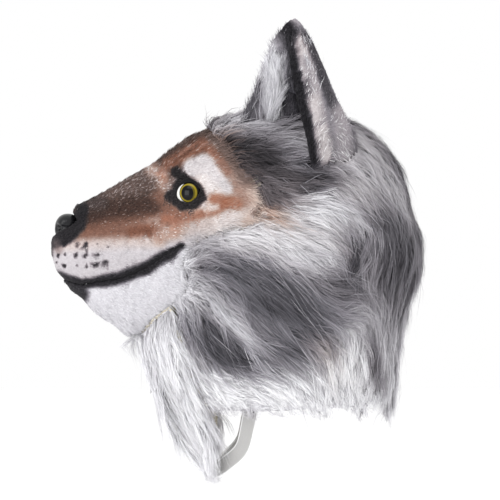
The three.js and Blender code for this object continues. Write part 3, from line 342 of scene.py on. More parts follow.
TUFT_LIE_PLACES = lie_places(
    (262, 100, -88, 40), (275, 140, -100, 48), (285, 110, -92, 34), (298, 150, -100, 38), (290, 80, -92, 26),
)
PLUME_LIE_PLACES = lie_places(
    (274, 136, -92, 34), (275, 112, -88, 36), (280, 90, -80, 28), (285, 72, -82, 16),
)
PLUME_LINE = ((268, 132), (270, 114), (275, 94), (282, 74))


def linear(code: str) -> tuple[float, float, float, float]:
    """Turn an sRGB hex colour to linear.

    Args:
        code: Colour as #rrggbb.

    Returns:
        Linear red, green, blue and an alpha of 1.
    """
    parts = [int(code[place:place + 2], 16) / 255 for place in (1, 3, 5)]
    red, green, blue = (part / 12.92 if part <= 0.04045 else ((part + 0.055) / 1.055) ** 2.4 for part in parts)
    return red, green, blue, 1.0


def lightness_of(code: str) -> float:
    """Give the sRGB lightness of a hex colour, from 0 to 1.

    Args:
        code: Colour as #rrggbb.

    Returns:
        Weighted mean of its three parts.
    """
    red, green, blue = (int(code[place:place + 2], 16) / 255 for place in (1, 3, 5))
    return 0.299 * red + 0.587 * green + 0.114 * blue


def charted(points: np.ndarray) -> np.ndarray:
    """Give the places of points on the side-view chart, the same for both sides of the mask.

    Args:
        points: Places in metres, three to a row.

    Returns:
        Chart places in millimetres, two to a row.
    """
    nearer = VIEWING_DISTANCE / (VIEWING_DISTANCE - np.abs(points[:, 0]) / MM)
    flat = np.stack([points[:, 1] / MM + CHART_SEAT[0], CHART_SEAT[1] - points[:, 2] / MM], axis=1)
    middle = np.array(CHART_MIDDLE)
    return middle + (flat - middle) * nearer[:, None]


def unit(rows: np.ndarray) -> np.ndarray:
    """Bring vectors, which lie along the last axis, to a length of one."""
    return rows / np.maximum(np.linalg.norm(rows, axis=-1, keepdims=True), 1e-9)


def distance_to_path(places: np.ndarray, path: tuple[tuple[float, float], ...]) -> np.ndarray:
    """Measure how far chart places are from a path.

    Args:
        places: Chart places, two to a row.
        path: Corners of the path.

    Returns:
        Distance of each place in millimetres.
    """
    nearest = np.full(len(places), np.inf)
    for start, end in zip(path[:-1], path[1:]):
        first = np.array(start)
        run = np.array(end) - first
        share = np.clip((places - first) @ run / max(float(run @ run), 1e-9), 0, 1)
        nearest = np.minimum(nearest, np.linalg.norm(places - first - share[:, None] * run, axis=1))
    return nearest


@dataclass(frozen=True)
class CoatPattern:
    """Airbrushed or woven-in colours of one panel, painted from its markings in order."""

    tone: float
    warmth: float
    markings: tuple[Marking, ...]

    def paint(self, places: np.ndarray) -> np.ndarray:
        """Paint chart places.

        Args:
            places: Chart places, two to a row.

        Returns:
            Warmth, tone and fleck share of each place, three to a row.
        """
        coat = np.tile([self.warmth, self.tone, 0.0], (len(places), 1))
        for marking in self.markings:
            reach = distance_to_path(places, marking.path) / marking.half
            fade = np.clip((1 + marking.soft - reach) / (2 * marking.soft), 0, 1)
            weight = (marking.strength * fade * fade * (3 - 2 * fade))[:, None]
            coat = coat * (1 - weight) + np.array([marking.warmth, marking.tone, marking.fleck]) * weight
        return coat


@dataclass(frozen=True)
class FurLie:
    """Which way the fur of one panel is combed, and how long it is."""

    places: tuple[LiePlace, ...]

    def at(self, points: np.ndarray) -> tuple[np.ndarray, np.ndarray]:
        """Read the lie at points.

        Args:
            points: Places in metres, three to a row.

        Returns:
            Comb directions in side view as unit vectors in Y and Z, and lengths in metres.
        """
        spots = charted(points)
        table = np.array([(place.x, place.y, place.degrees, place.length) for place in self.places])
        away = np.linalg.norm(spots[:, None, :] - table[None, :, :2], axis=2) + 3.0
        weights = away ** -3.2
        weights /= weights.sum(axis=1, keepdims=True)
        turn = np.radians(table[:, 2])
        ways = weights @ np.stack([np.cos(turn), -np.sin(turn)], axis=1)
        return unit(ways), weights @ table[:, 3] * MM


MOUTH_LINE = ((60, 276), (66, 279), (84, 284), (100, 281), (125, 277), (149, 266), (168, 252), (176, 248))
MOUTH_MARKINGS = (
    Marking("mouth front", ((60, 278), (82, 284), (104, 281)), 5.2, 0.12, 0.05, 1.0, 0.45),
    Marking("mouth middle", ((104, 281), (120, 278), (135, 272), (147, 268)), 6.4, 0.12, 0.05, 1.0, 0.45),
    Marking("mouth corner", ((147, 268), (159, 259), (171, 254)), 6.0, 0.12, 0.05, 1.0, 0.45),
    Marking("mouth end", ((170, 254), (181, 246)), 3.8, 0.12, 0.05, 1.0, 0.6),
    Marking("chin black", ((58, 280), (68, 288), (80, 295)), 8.5, 0.15, 0.05, 1.0, 0.45),
)

JAW_PATTERN = CoatPattern(0.82, 0.04, (
    Marking("jaw fold shade", ((157, 262), (155, 280), (160, 298)), 3, 0.80, 0.05, 0.8, 1.0),
) + MOUTH_MARKINGS)
FACE_PATTERN = CoatPattern(0.80, 0.36, FACE_MARKINGS + tuple(
    Marking("whisker spot", ((0.7 * first[0] + 0.3 * last[0], 0.7 * first[1] + 0.3 * last[1]),
                             (0.3 * first[0] + 0.7 * last[0], 0.3 * first[1] + 0.7 * last[1])),
            half * 0.85, 0.12, 0.1, 0.95, 0.45) for first, last, half in WHISKER_SPOTS
) + MOUTH_MARKINGS)
COAT_PATTERN = CoatPattern(0.62, 0.06, COAT_MARKINGS)
BIB_PATTERN = CoatPattern(0.88, 0.05, BIB_MARKINGS)
EAR_PATTERN = CoatPattern(0.45, 0.05, EAR_MARKINGS)
TUFT_PATTERN = CoatPattern(0.80, 0.0, TUFT_MARKINGS)
GUARD_PATTERN = CoatPattern(0.62, 0.0, ())


def add_node(tree: bpy.types.NodeTree, kind: str, settings: dict | None = None,
             links: dict | None = None) -> bpy.types.Node:
    """Add a node with its settings and incoming links.

    Args:
        tree: Node tree that it goes into.
        kind: Blender's name for the node type, without its leading ShaderNode.
        settings: Attributes by name, or socket values under the socket's name or number.
        links: Output sockets to link from, under the name or number of the input.

    Returns:
        The new node.
    """
    node = tree.nodes.new(f"ShaderNode{kind}")
    for name, value in (settings or {}).items():
        if isinstance(name, int) or (name not in node.bl_rna.properties and name in node.inputs):
            node.inputs[name].default_value = value
        else:
            setattr(node, name, value)
    for name, source in (links or {}).items():
        tree.links.new(source, node.inputs[name])
    return node


def start_material(name: str) -> tuple[bpy.types.Material, bpy.types.NodeTree]:
    """Start a material with an output node and nothing else.

    Args:
        name: Name of the real finish.

    Returns:
        The material and its node tree.
    """
    material = bpy.data.materials.new(name)
    material.use_nodes = True
    material.node_tree.nodes.clear()
    return material, material.node_tree


def end_material(tree: bpy.types.NodeTree, settings: dict, links: dict) -> None:
    """Close a material with its shader.

    Args:
        tree: The material's node tree.
        settings: Values of the shader's own sockets.
        links: What is linked into the shader.
    """
    shader = add_node(tree, "BsdfPrincipled", settings, links)
    add_node(tree, "OutputMaterial", links={"Surface": shader.outputs["BSDF"]})


@dataclass(frozen=True)
class FurDyes:
    """Fibre colours in three families, from dark to pale. Each is placed by its own lightness."""

    lilac_grey: tuple[str, ...] = ("#121114", "#2e2d32", "#5b5a61", "#918f97", "#c6c5cb", "#e6e6ea", "#f6f6f8")
    brown: tuple[str, ...] = ("#151211", "#362b28", "#6b564e", "#9c867d", "#cbbdb7", "#e6dfdc", "#f5f2f0")
    rust: tuple[str, ...] = ("#1e120d", "#56301f", "#9a6047", "#bd8a70", "#dcbba6", "#eeddd0", "#f8f0ea")

    def colour(self, tree: bpy.types.NodeTree, warmth: bpy.types.NodeSocket,
               tone: bpy.types.NodeSocket) -> bpy.types.NodeSocket:
        """Turn warmth and tone to a colour.

        Args:
            tree: Node tree that the nodes go into.
            warmth: Socket with the warmth, 0 to 1.
            tone: Socket with the lightness, 0 to 1.

        Returns:
            Socket with the colour.
        """
        ramps = []
        for family in (self.lilac_grey, self.brown, self.rust):
            ramp = add_node(tree, "ValToRGB", links={"Fac": tone})
            stops = ramp.color_ramp.elements
            while len(stops) < len(family):
                stops.new(0.5)
            for stop, code in zip(stops, sorted(family, key=lightness_of)):
                stop.position = lightness_of(code)
                stop.color = linear(code)
            ramps.append(ramp.outputs["Color"])
        low = add_node(tree, "MapRange", {"From Min": 0.0, "From Max": 0.5}, {"Value": warmth})
        high = add_node(tree, "MapRange", {"From Min": 0.5, "From Max": 1.0}, {"Value": warmth})
        cool = add_node(tree, "MixRGB", links={0: low.outputs[0], 1: ramps[0], 2: ramps[1]})
        warm = add_node(tree, "MixRGB", links={0: high.outputs[0], 1: cool.outputs[0], 2: ramps[2]})
        return warm.outputs[0]


@dataclass(frozen=True)
class FauxFurFibre:
    """Modacrylic pile fibre: soft-spun, dull gloss. The strand's own map gives its colour, painted shade and
    light.
    """

    name: str = "modacrylic_fur_fibre"
    roughness: float = 0.62
    gloss: float = 0.16
    sheen: float = 0.05

    def make(self) -> bpy.types.Material:
        """Make the fibre's material."""
        material, tree = start_material(self.name)
        # The map's tone carries painted shade at each fibre's root and painted light at its tip.
        dye_and_shade_map = add_node(tree, "UVMap", {"uv_map": FUR_MAP})
        split = add_node(tree, "SeparateXYZ", links={0: dye_and_shade_map.outputs[0]})
        colour = FurDyes().colour(tree, split.outputs[0], split.outputs[1])
        settings = {"Roughness": self.roughness, "Specular IOR Level": self.gloss, "Sheen Weight": self.sheen,
                    "Sheen Roughness": 0.6}
        end_material(tree, settings, {"Base Color": colour})
        return material


@dataclass(frozen=True)
class ShearedPile:
    """Woven pile seen between its own fibres: mottled in tone and broken up by the pile's grain."""

    name: str
    grain_mm: float
    mottle: float
    depth_mm: float
    roughness: float = 0.9

    def make(self) -> bpy.types.Material:
        """Make the pile's material."""
        material, tree = start_material(self.name)
        place = add_node(tree, "TexCoord").outputs["Object"]
        coat = add_node(tree, "UVMap", {"uv_map": SKIN_MAP})
        split = add_node(tree, "SeparateXYZ", links={0: coat.outputs[0]})
        # Tufts of pile, a little longer than wide along the mask.
        stretched = add_node(tree, "Mapping", {"Scale": (1.0, 0.45, 0.8)}, {"Vector": place})
        grain = add_node(tree, "TexNoise", {"Scale": 1 / (self.grain_mm * MM), "Detail": 3.0},
                         {"Vector": stretched.outputs[0]})
        swing = add_node(tree, "Math",
                         {"operation": "MULTIPLY_ADD", 1: 2 * self.mottle, 2: -self.mottle},
                         {0: grain.outputs["Fac"]})
        tone = add_node(tree, "Math", {"operation": "ADD"},
                        {0: split.outputs[1], 1: swing.outputs[0]})
        colour = FurDyes().colour(tree, split.outputs[0], tone.outputs[0])
        bump = add_node(tree, "Bump", {"Strength": 0.8, "Distance": self.depth_mm * MM},
                        {"Height": grain.outputs["Fac"]})
        settings = {"Roughness": self.roughness, "Specular IOR Level": 0.1, "Sheen Weight": 0.04}
        end_material(tree, settings, {"Base Color": colour, "Normal": bump.outputs[0]})
        return material


@dataclass(frozen=True)
class KnittedBacking:
    """Warp-knitted polyester backing of fur fabric: dull, with rows of small loops about 1.5 mm apart."""

    name: str = "knitted_polyester_backing"
    thread: str = "#c9c3b6"
    shade: str = "#9b9488"
    loop_mm: float = 1.5

    def make(self) -> bpy.types.Material:
        """Make the backing's material."""
        material, tree = start_material(self.name)
        place = add_node(tree, "TexCoord").outputs["Object"]
        wave = {"Scale": 1 / (self.loop_mm * MM) / 6.28, "Distortion": 0.6, "Detail": 1.0}
        rows = add_node(tree, "TexWave", wave | {"bands_direction": "Z"}, {"Vector": place})
        wales = add_node(tree, "TexWave", wave | {"bands_direction": "DIAGONAL"}, {"Vector": place})
        loops = add_node(tree, "Math", {"operation": "MULTIPLY"},
                         {0: rows.outputs["Fac"], 1: wales.outputs["Fac"]})
        colour = add_node(tree, "MixRGB", {1: linear(self.shade), 2: linear(self.thread)},
                          {0: loops.outputs[0]})
        bump = add_node(tree, "Bump", {"Strength": 0.6, "Distance": 0.5 * MM},
                        {"Height": loops.outputs[0]})
        end_material(tree, {"Roughness": 0.95, "Specular IOR Level": 0.15},
                     {"Base Color": colour.outputs[0], "Normal": bump.outputs[0]})
        return material


@dataclass(frozen=True)
class WovenBand:
    """Flat woven tape: grey twill with a white edge thread on each side, read from the band's own map."""

    name: str = "woven_polyester_tape"
    body: str = "#bdbcbb"
    shade: str = "#9c9b9a"
    edge: str = "#eeeeee"
    thread_mm: float = 1.2

    def make(self) -> bpy.types.Material:
        """Make the tape's material. Its map runs across from 0 to 1 and along in millimetres."""
        material, tree = start_material(self.name)
        tape = add_node(tree, "UVMap", {"uv_map": "Tape"})
        split = add_node(tree, "SeparateXYZ", links={0: tape.outputs[0]})
        twill = add_node(tree, "TexWave",
                         {"Scale": 1 / self.thread_mm, "bands_direction": "DIAGONAL"},
                         {"Vector": tape.outputs[0]})
        body = add_node(tree, "MixRGB", {1: linear(self.shade), 2: linear(self.body)},
                        {0: twill.outputs["Fac"]})
        off = add_node(tree, "Math", {"operation": "SUBTRACT", 1: 0.5}, {0: split.outputs[0]})
        away = add_node(tree, "Math", {"operation": "ABSOLUTE"}, {0: off.outputs[0]})
        rim = add_node(tree, "MapRange", {"From Min": 0.40, "From Max": 0.43},
                       {"Value": away.outputs[0]})
        colour = add_node(tree, "MixRGB", {2: linear(self.edge)},
                          {0: rim.outputs[0], 1: body.outputs[0]})
        bump = add_node(tree, "Bump", {"Strength": 0.5, "Distance": 0.3 * MM},
                        {"Height": twill.outputs["Fac"]})
        end_material(tree, {"Roughness": 0.85, "Specular IOR Level": 0.2},
                     {"Base Color": colour.outputs[0], "Normal": bump.outputs[0]})
        return material


@dataclass(frozen=True)
class GlossyNose:
    """Polyurethane resin, moulded and lacquered black over a pebbled skin: a sharp gloss with small dents."""

    name: str = "lacquered_polyurethane"
    colour: str = "#141417"
    pebble_mm: float = 1.6

    def make(self) -> bpy.types.Material:
        """Make the nose's material."""
        material, tree = start_material(self.name)
        place = add_node(tree, "TexCoord").outputs["Object"]
        pebbles = add_node(tree, "TexVoronoi", {"Scale": 1 / (self.pebble_mm * MM)},
                           {"Vector": place})
        bump = add_node(tree, "Bump", {"Strength": 0.35, "Distance": 0.25 * MM, "invert": True},
                        {"Height": pebbles.outputs["Distance"]})
        wear = add_node(tree, "TexNoise", {"Scale": 120.0, "Detail": 2.0}, {"Vector": place})
        rough = add_node(tree, "MapRange", {"To Min": 0.22, "To Max": 0.38},
                         {"Value": wear.outputs["Fac"]})
        end_material(tree, {"Base Color": linear(self.colour), "Specular IOR Level": 0.28},
                     {"Roughness": rough.outputs[0], "Normal": bump.outputs[0]})
        return material


@dataclass(frozen=True)
class ResinEye:
    """Clear-coated acrylic eye: white ball, olive ring round a black pupil, wet gloss."""

    name: str = "clear_coated_acrylic_eye"
    white: str = "#e9e6e2"
    ring: str = "#94821d"
    ring_dark: str = "#5b5212"
    pupil: str = "#08080a"

    def make(self) -> bpy.types.Material:
        """Make the eye's material. Its map holds millimetres from the pupil's centre."""
        material, tree = start_material(self.name)
        spot = add_node(tree, "UVMap", {"uv_map": "Gaze"})
        away = add_node(tree, "VectorMath", {"operation": "LENGTH"}, {0: spot.outputs[0]})
        share = add_node(tree, "MapRange", {"From Min": 0.0, "From Max": 14.0},
                         {"Value": away.outputs["Value"]})
        bands = ((0.0, self.ring_dark), (0.50, self.ring_dark), (0.56, self.ring), (0.62, self.ring),
                 (0.655, self.ring_dark), (0.67, self.pupil), (0.71, self.pupil))
        ramp = add_node(tree, "ValToRGB", links={"Fac": share.outputs[0]})
        stops = ramp.color_ramp.elements
        while len(stops) < len(bands):
            stops.new(0.5)
        for stop, (position, code) in zip(stops, bands):
            stop.position = position
            stop.color = linear(code)
        # The pupil sits a little forward of the middle of its ring.
        moved = add_node(tree, "Mapping", {"Location": (0.8, 0.0, 0.0), "Scale": (1.0, 0.88, 1.0)},
                         {"Vector": spot.outputs[0]})
        inner = add_node(tree, "VectorMath", {"operation": "LENGTH"}, {0: moved.outputs[0]})
        iris = add_node(tree, "MapRange", {"From Min": 6.1, "From Max": 6.9},
                        {"Value": inner.outputs["Value"]})
        looking = add_node(tree, "MixRGB", {1: linear(self.pupil)},
                           {0: iris.outputs[0], 2: ramp.outputs["Color"]})
        # White shows only towards the nose.
        split = add_node(tree, "SeparateXYZ", links={0: spot.outputs[0]})
        front = add_node(tree, "MapRange", {"From Min": -3.0, "From Max": -5.5},
                         {"Value": split.outputs[0]})
        outside = add_node(tree, "MapRange", {"From Min": 9.7, "From Max": 10.3},
                           {"Value": away.outputs["Value"]})
        bare = add_node(tree, "Math", {"operation": "MULTIPLY"},
                        {0: front.outputs[0], 1: outside.outputs[0]})
        whole = add_node(tree, "MixRGB", {2: linear(self.white)},
                         {0: bare.outputs[0], 1: looking.outputs[0]})
        rays = add_node(tree, "TexNoise", {"Scale": 1.4, "Detail": 3.0},
                        {"Vector": spot.outputs[0]})
        fade = add_node(tree, "MapRange", {"To Min": 0.75, "To Max": 1.0},
                        {"Value": rays.outputs["Fac"]})
        colour = add_node(tree, "MixRGB", {"blend_type": "MULTIPLY", 0: 1.0},
                          {1: whole.outputs[0], 2: fade.outputs[0]})
        end_material(tree, {"Roughness": 0.12, "Specular IOR Level": 0.14},
                     {"Base Color": colour.outputs[0]})
        return material


@dataclass(frozen=True)
class BlackVelvet:
    """Flocked black lining of the eye openings: no gloss, a faint sheen."""

    name: str = "black_flock_lining"

    def make(self) -> bpy.types.Material:
        """Make the lining's material."""
        material, tree = start_material(self.name)
        place = add_node(tree, "TexCoord").outputs["Object"]
        nap = add_node(tree, "TexNoise", {"Scale": 900.0, "Detail": 2.0}, {"Vector": place})
        shade = add_node(tree, "MixRGB", {1: linear("#0b0b0c"), 2: linear("#242326")},
                         {0: nap.outputs["Fac"]})
        bump = add_node(tree, "Bump", {"Strength": 0.5, "Distance": 0.3 * MM},
                        {"Height": nap.outputs["Fac"]})
        end_material(tree, {"Roughness": 0.9, "Specular IOR Level": 0.1},
                     {"Base Color": shade.outputs[0], "Normal": bump.outputs[0]})
        return material


def deselect() -> None:
    """Leave object mode with nothing selected."""
    if bpy.context.object and bpy.context.object.mode != "OBJECT":
        bpy.ops.object.mode_set(mode="OBJECT")
    bpy.ops.object.select_all(action="DESELECT")


def placed(name: str, data: bpy.types.ID) -> bpy.types.Object:
    """Make an object of a mesh, curve, light or camera and link it to the scene."""
    made = bpy.data.objects.new(name, data)
    bpy.context.scene.collection.objects.link(made)
    return made


def focus(piece: bpy.types.Object) -> None:
    """Make a piece the only selected and the active object.

    Args:
        piece: The piece to work on.
    """
    deselect()
    piece.select_set(True)
    bpy.context.view_layer.objects.active = piece


def apply_modifier(piece: bpy.types.Object, kind: str, **settings: object) -> None:
    """Add a modifier to a piece and apply it.

    Args:
        piece: The piece it shapes.
        kind: Blender's name for the modifier type.
        settings: The modifier's settings by name.
    """
    focus(piece)
    modifier = piece.modifiers.new(kind.lower(), kind)
    for name, value in settings.items():
        setattr(modifier, name, value)
    bpy.ops.object.modifier_apply(modifier=modifier.name)


def enter(piece: bpy.types.Object, slot: Slot, material: bpy.types.Material, *nodes: str) -> None:
    """Dress a finished piece, let it ride with the mask and hide the CAD nodes that it replaces.

    Args:
        piece: The finished piece.
        slot: Slot of the record; not used.
        material: Its material.
        nodes: CAD nodes that it replaces.
    """
    piece.data.materials.clear()
    piece.data.materials.append(material)
    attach(piece, Body.MASK.value)
    if nodes:
        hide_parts(*nodes)
    LOG.info("%s: %d faces", piece.name, len(piece.data.polygons))


def merged_copy(node: str, name: str, recalculate: bool) -> bpy.types.Object:
    """Copy a CAD node, with the doubles of its loose triangles merged.

    Args:
        node: Name of the CAD node.
        name: Name of the new piece.
        recalculate: Whether its normals are turned outward, which a hollow wall of cloth doesn't need.

    Returns:
        The new piece, which rides on nothing yet.
    """
    piece = placed(name, frame["nodes"][node].data.copy())
    piece.hide_render = False
    focus(piece)
    bpy.ops.object.mode_set(mode="EDIT")
    bpy.ops.mesh.select_all(action="SELECT")
    bpy.ops.mesh.remove_doubles(threshold=0.02 * MM)
    if recalculate:
        bpy.ops.mesh.normals_make_consistent(inside=False)
    bpy.ops.object.mode_set(mode="OBJECT")
    return piece


def soft_copy(node: str, name: str, voxel_mm: float, rounds: int, kept: float = 1.0) -> bpy.types.Object:
    """Copy a CAD node as one smooth, finely meshed skin of the same form.

    Args:
        node: Name of the CAD node.
        name: Name of the new piece.
        voxel_mm: Fineness of its mesh.
        rounds: Rounds of smoothing.
        kept: Share of its triangles that is kept.

    Returns:
        The new piece, which rides on nothing yet.
    """
    piece = merged_copy(node, name, recalculate=True)
    apply_modifier(piece, "REMESH", mode="VOXEL", voxel_size=voxel_mm * MM, adaptivity=0.0)
    if rounds:
        apply_modifier(piece, "SMOOTH", factor=0.5, iterations=rounds)
    if kept < 1:
        apply_modifier(piece, "DECIMATE", ratio=kept)
    bpy.ops.object.shade_smooth()
    return piece


def faces_out(places: np.ndarray, normals: np.ndarray, core: np.ndarray = CORE) -> np.ndarray:
    """Tell which places of a skin face away from the middle line."""
    return (normals * (places - core_of(places, core))).sum(axis=1) > 0


def soft_cloth(node: str, name: str) -> bpy.types.Object:
    """Copy a CAD wall of cloth, with finer faces and smooth shading.

    Args:
        node: Name of the CAD node.
        name: Name of the new piece.

    Returns:
        The new piece, which rides on nothing yet.
    """
    piece = merged_copy(node, name, recalculate=False)
    bpy.ops.object.shade_smooth_by_angle(angle=math.radians(40))
    return piece


def shear(piece: bpy.types.Object, depth_mm: float, core: np.ndarray = CORE) -> None:
    """Take the outer side of a skin inward, so that its fibres end about where the CAD form ends.

    Args:
        piece: The skin.
        depth_mm: How far.
        core: Middle line that the outer side faces away from.
    """
    places = vertices_of(piece.data)
    normals = normals_of(piece.data)
    outer = faces_out(places, normals, core)[:, None]
    piece.data.vertices.foreach_set("co", (places - normals * outer * depth_mm * MM).ravel())
    piece.data.update()


def vertices_of(mesh: bpy.types.Mesh) -> np.ndarray:
    """Read a mesh's vertices, three numbers to a row."""
    flat = np.empty(len(mesh.vertices) * 3, dtype=np.float64)
    mesh.vertices.foreach_get("co", flat)
    return flat.reshape(-1, 3)


def normals_of(mesh: bpy.types.Mesh) -> np.ndarray:
    """Read a mesh's vertex normals, three numbers to a row."""
    flat = np.empty(len(mesh.vertices) * 3, dtype=np.float64)
    mesh.vertices.foreach_get("normal", flat)
    return flat.reshape(-1, 3)


def grain(places: np.ndarray, size: float, seed: int) -> np.ndarray:
    """Give smooth random numbers over chart places, from about -1 to 1.

    Args:
        places: Chart places, two to a row.
        size: Size of the blotches in millimetres.
        seed: Which set of blotches.

    Returns:
        One number for each place.
    """
    random = np.random.default_rng(seed)
    total = np.zeros(len(places))
    for _ in range(7):
        turn = random.uniform(0, 2 * math.pi)
        way = np.array([math.cos(turn), math.sin(turn)]) / (size * random.uniform(0.7, 1.5))
        total += np.sin(places @ way * 2 * math.pi + random.uniform(0, 2 * math.pi))
    return total / 3.2


def paint_skin(piece: bpy.types.Object, pattern: CoatPattern, painted_shade: float = 0.0,
               wobble_mm: float = 1.2) -> None:
    """Give a skin the coat pattern as a map of warmth and tone, with painted shade between its fibres.

    Args:
        piece: The skin.
        pattern: Its coat pattern.
        painted_shade: Painted shade: how much darker the pile is made down between its fibres.
        wobble_mm: How far the edges of its markings wander.
    """
    mesh = piece.data
    places = charted(vertices_of(mesh))
    wobble = np.stack([grain(places, 9, 3), grain(places, 9, 4)], axis=1) * wobble_mm
    coat = pattern.paint(places + wobble)
    # Painted shade: the pile's tone is darkened by a share, as if shaded down between its fibres.
    tone = np.clip(coat[:, 1] * (1 - painted_shade), *TONE_LIMITS)
    corners = np.empty(len(mesh.loops), dtype=np.int32)
    mesh.loops.foreach_get("vertex_index", corners)
    layer = mesh.uv_layers.new(name=SKIN_MAP)
    layer.data.foreach_set("uv", np.stack([coat[:, 0], tone], axis=1)[corners].ravel())


def core_of(points: np.ndarray, core: np.ndarray = CORE) -> np.ndarray:
    """Give the nearest places on the line through the middle of muzzle, head and neck.

    Args:
        points: Places in metres, three to a row.
        core: Corners of the line.

    Returns:
        Places on the middle line, three to a row.
    """
    best = np.full(len(points), np.inf)
    found = np.zeros_like(points)
    for first, last in zip(core[:-1], core[1:]):
        run = last - first
        share = np.clip((points - first) @ run / (run @ run), 0, 1)
        foot = first + share[:, None] * run
        away = np.linalg.norm(points - foot, axis=1)
        nearer = away < best
        best[nearer] = away[nearer]
        found[nearer] = foot[nearer]
    return found


class Ground:
    """Surface that fur grows on: the outward side of a skin.

    outward and towards are the least cosines between a face's normal and the way out, or the way asked for.
    """

    outward = 0.12
    towards = 0.1

    def __init__(self, skin: bpy.types.Object, outward_only: bool = True, core: np.ndarray = CORE) -> None:
        """Read the skin.

        Args:
            skin: The skin's object.
            outward_only: Leave out what faces the wearer.
            core: Middle line that the outward side faces away from.
        """
        mesh = skin.data
        mesh.calc_loop_triangles()
        corners = np.empty(len(mesh.loop_triangles) * 3, dtype=np.int32)
        mesh.loop_triangles.foreach_get("vertices", corners)
        corners = corners.reshape(-1, 3)
        self.places = vertices_of(mesh)
        self.normals = normals_of(mesh)
        centres = self.places[corners].mean(axis=1)
        facing = self.normals[corners].mean(axis=1)
        keep = np.ones(len(corners), dtype=bool)
        if outward_only:
            out = unit(centres - core_of(centres, core))
            keep = (facing * out).sum(axis=1) > self.outward
        self.corners = corners[keep]
        used = np.unique(self.corners)
        self.tree = KDTree(len(used))
        for vertex in used:
            self.tree.insert(self.places[vertex], int(vertex))
        self.tree.balance()

    def facing(self, way: tuple[float, float, float]) -> "Ground":
        """Keep only what faces one way.

        Args:
            way: The way.

        Returns:
            This ground.
        """
        turned = self.normals[self.corners].mean(axis=1) @ np.array(way)
        self.corners = self.corners[turned > self.towards]
        return self

    def scatter(self, count: int, random: np.random.Generator,
                weight: np.ndarray | None = None) -> tuple[np.ndarray, np.ndarray]:
        """Scatter places evenly over the surface.

        Args:
            count: How many.
            random: Seeded source of chance.
            weight: Extra weight of each triangle.

        Returns:
            Places and unit normals, three numbers to a row.
        """
        first, second, third = (self.places[self.corners[:, column]] for column in range(3))
        area = np.linalg.norm(np.cross(second - first, third - first), axis=1)
        if weight is not None:
            area = area * weight
        picked = random.choice(len(self.corners), count, p=area / area.sum())
        share = np.sqrt(random.random(count))[:, None]
        other = random.random(count)[:, None]
        mix = (1 - share, share * (1 - other), share * other)
        trio = self.corners[picked]
        place = sum(part * self.places[trio[:, column]] for column, part in enumerate(mix))
        normal = sum(part * self.normals[trio[:, column]] for column, part in enumerate(mix))
        return place, unit(normal)

    def nearest(self, points: np.ndarray) -> tuple[np.ndarray, np.ndarray]:
        """Find the nearest places of the surface.

        Args:
            points: Places in metres, three to a row.

        Returns:
            Nearest places and their normals.
        """
        found = [self.tree.find(point)[1] for point in points]
        return self.places[found], self.normals[found]


def laid(ways: np.ndarray, normals: np.ndarray, points: np.ndarray, spread: float) -> np.ndarray:
    """Lay side-view comb directions into the surface.

    Args:
        ways: Comb directions in Y and Z.
        normals: Surface normals.
        points: Places, whose side of the middle plane tells which way the fur spreads.
        spread: Drift away from the middle plane, as a share of the comb.

    Returns:
        Unit directions, three to a row.
    """
    heading = np.concatenate([np.sign(points[:, :1]) * spread, ways], axis=1)
    heading -= (heading * normals).sum(axis=1, keepdims=True) * normals
    size = np.linalg.norm(heading, axis=1, keepdims=True)
    fallback = np.cross(normals, np.array([1.0, 0.0, 0.0]))
    heading = np.where(size < 0.08, fallback, heading)
    return unit(heading)


def strand_mesh(name: str, spines: np.ndarray, facing: np.ndarray, width: np.ndarray,
                dyes_and_shade: np.ndarray) -> bpy.types.Object:
    """Build many tapered flat strands as one mesh.

    Args:
        name: Name of the new piece.
        spines: Middle lines, strands by points by three.
        facing: Direction that each strand's flat side faces.
        width: Width at the root of each strand.
        dyes_and_shade: Warmth and tone along each strand, with painted shade and light, strands by points by
            two.

    Returns:
        The new piece, which rides on nothing yet.
    """
    count, points, _ = spines.shape
    across = unit(np.cross(np.gradient(spines, axis=1), facing[:, None, :]))
    share = np.linspace(0, 1, points)
    taper = (0.55 + 0.9 * share) * np.sqrt(np.clip(1 - share, 0, 1)) * 1.15
    half = width[:, None, None] * taper[None, :, None] / 2
    body = points - 1
    left = spines[:, :body] - across[:, :body] * half[:, :body]
    right = spines[:, :body] + across[:, :body] * half[:, :body]
    rows = np.stack([left, right], axis=2).reshape(count, body * 2, 3)
    vertices = np.concatenate([rows, spines[:, -1:]], axis=1).reshape(-1, 3)
    stride = body * 2 + 1
    first = 2 * np.arange(body - 1)
    quads = np.stack([first, first + 1, first + 3, first + 2], axis=1)
    pattern = np.concatenate([quads.ravel(), [2 * body - 2, 2 * body - 1, 2 * body]])
    corners = (np.arange(count)[:, None] * stride + pattern[None, :]).ravel()
    sizes = np.tile(np.array([4] * (body - 1) + [3]), count)
    starts = np.concatenate([[0], np.cumsum(sizes)[:-1]])
    mesh = bpy.data.meshes.new(name)
    mesh.vertices.add(len(vertices))
    mesh.vertices.foreach_set("co", vertices.ravel())
    mesh.loops.add(len(corners))
    mesh.loops.foreach_set("vertex_index", corners.astype(np.int32))
    mesh.polygons.add(len(sizes))
    mesh.polygons.foreach_set("loop_start", starts.astype(np.int32))
    mesh.update(calc_edges=True)
    mesh.polygons.foreach_set("use_smooth", np.ones(len(sizes), dtype=bool))
    pairs = np.repeat(dyes_and_shade[:, :body], 2, axis=1)
    tints = np.concatenate([pairs, dyes_and_shade[:, -1:]], axis=1).reshape(-1, 2)
    layer = mesh.uv_layers.new(name=FUR_MAP)
    layer.data.foreach_set("uv", tints[corners].ravel())
    return placed(name, mesh)


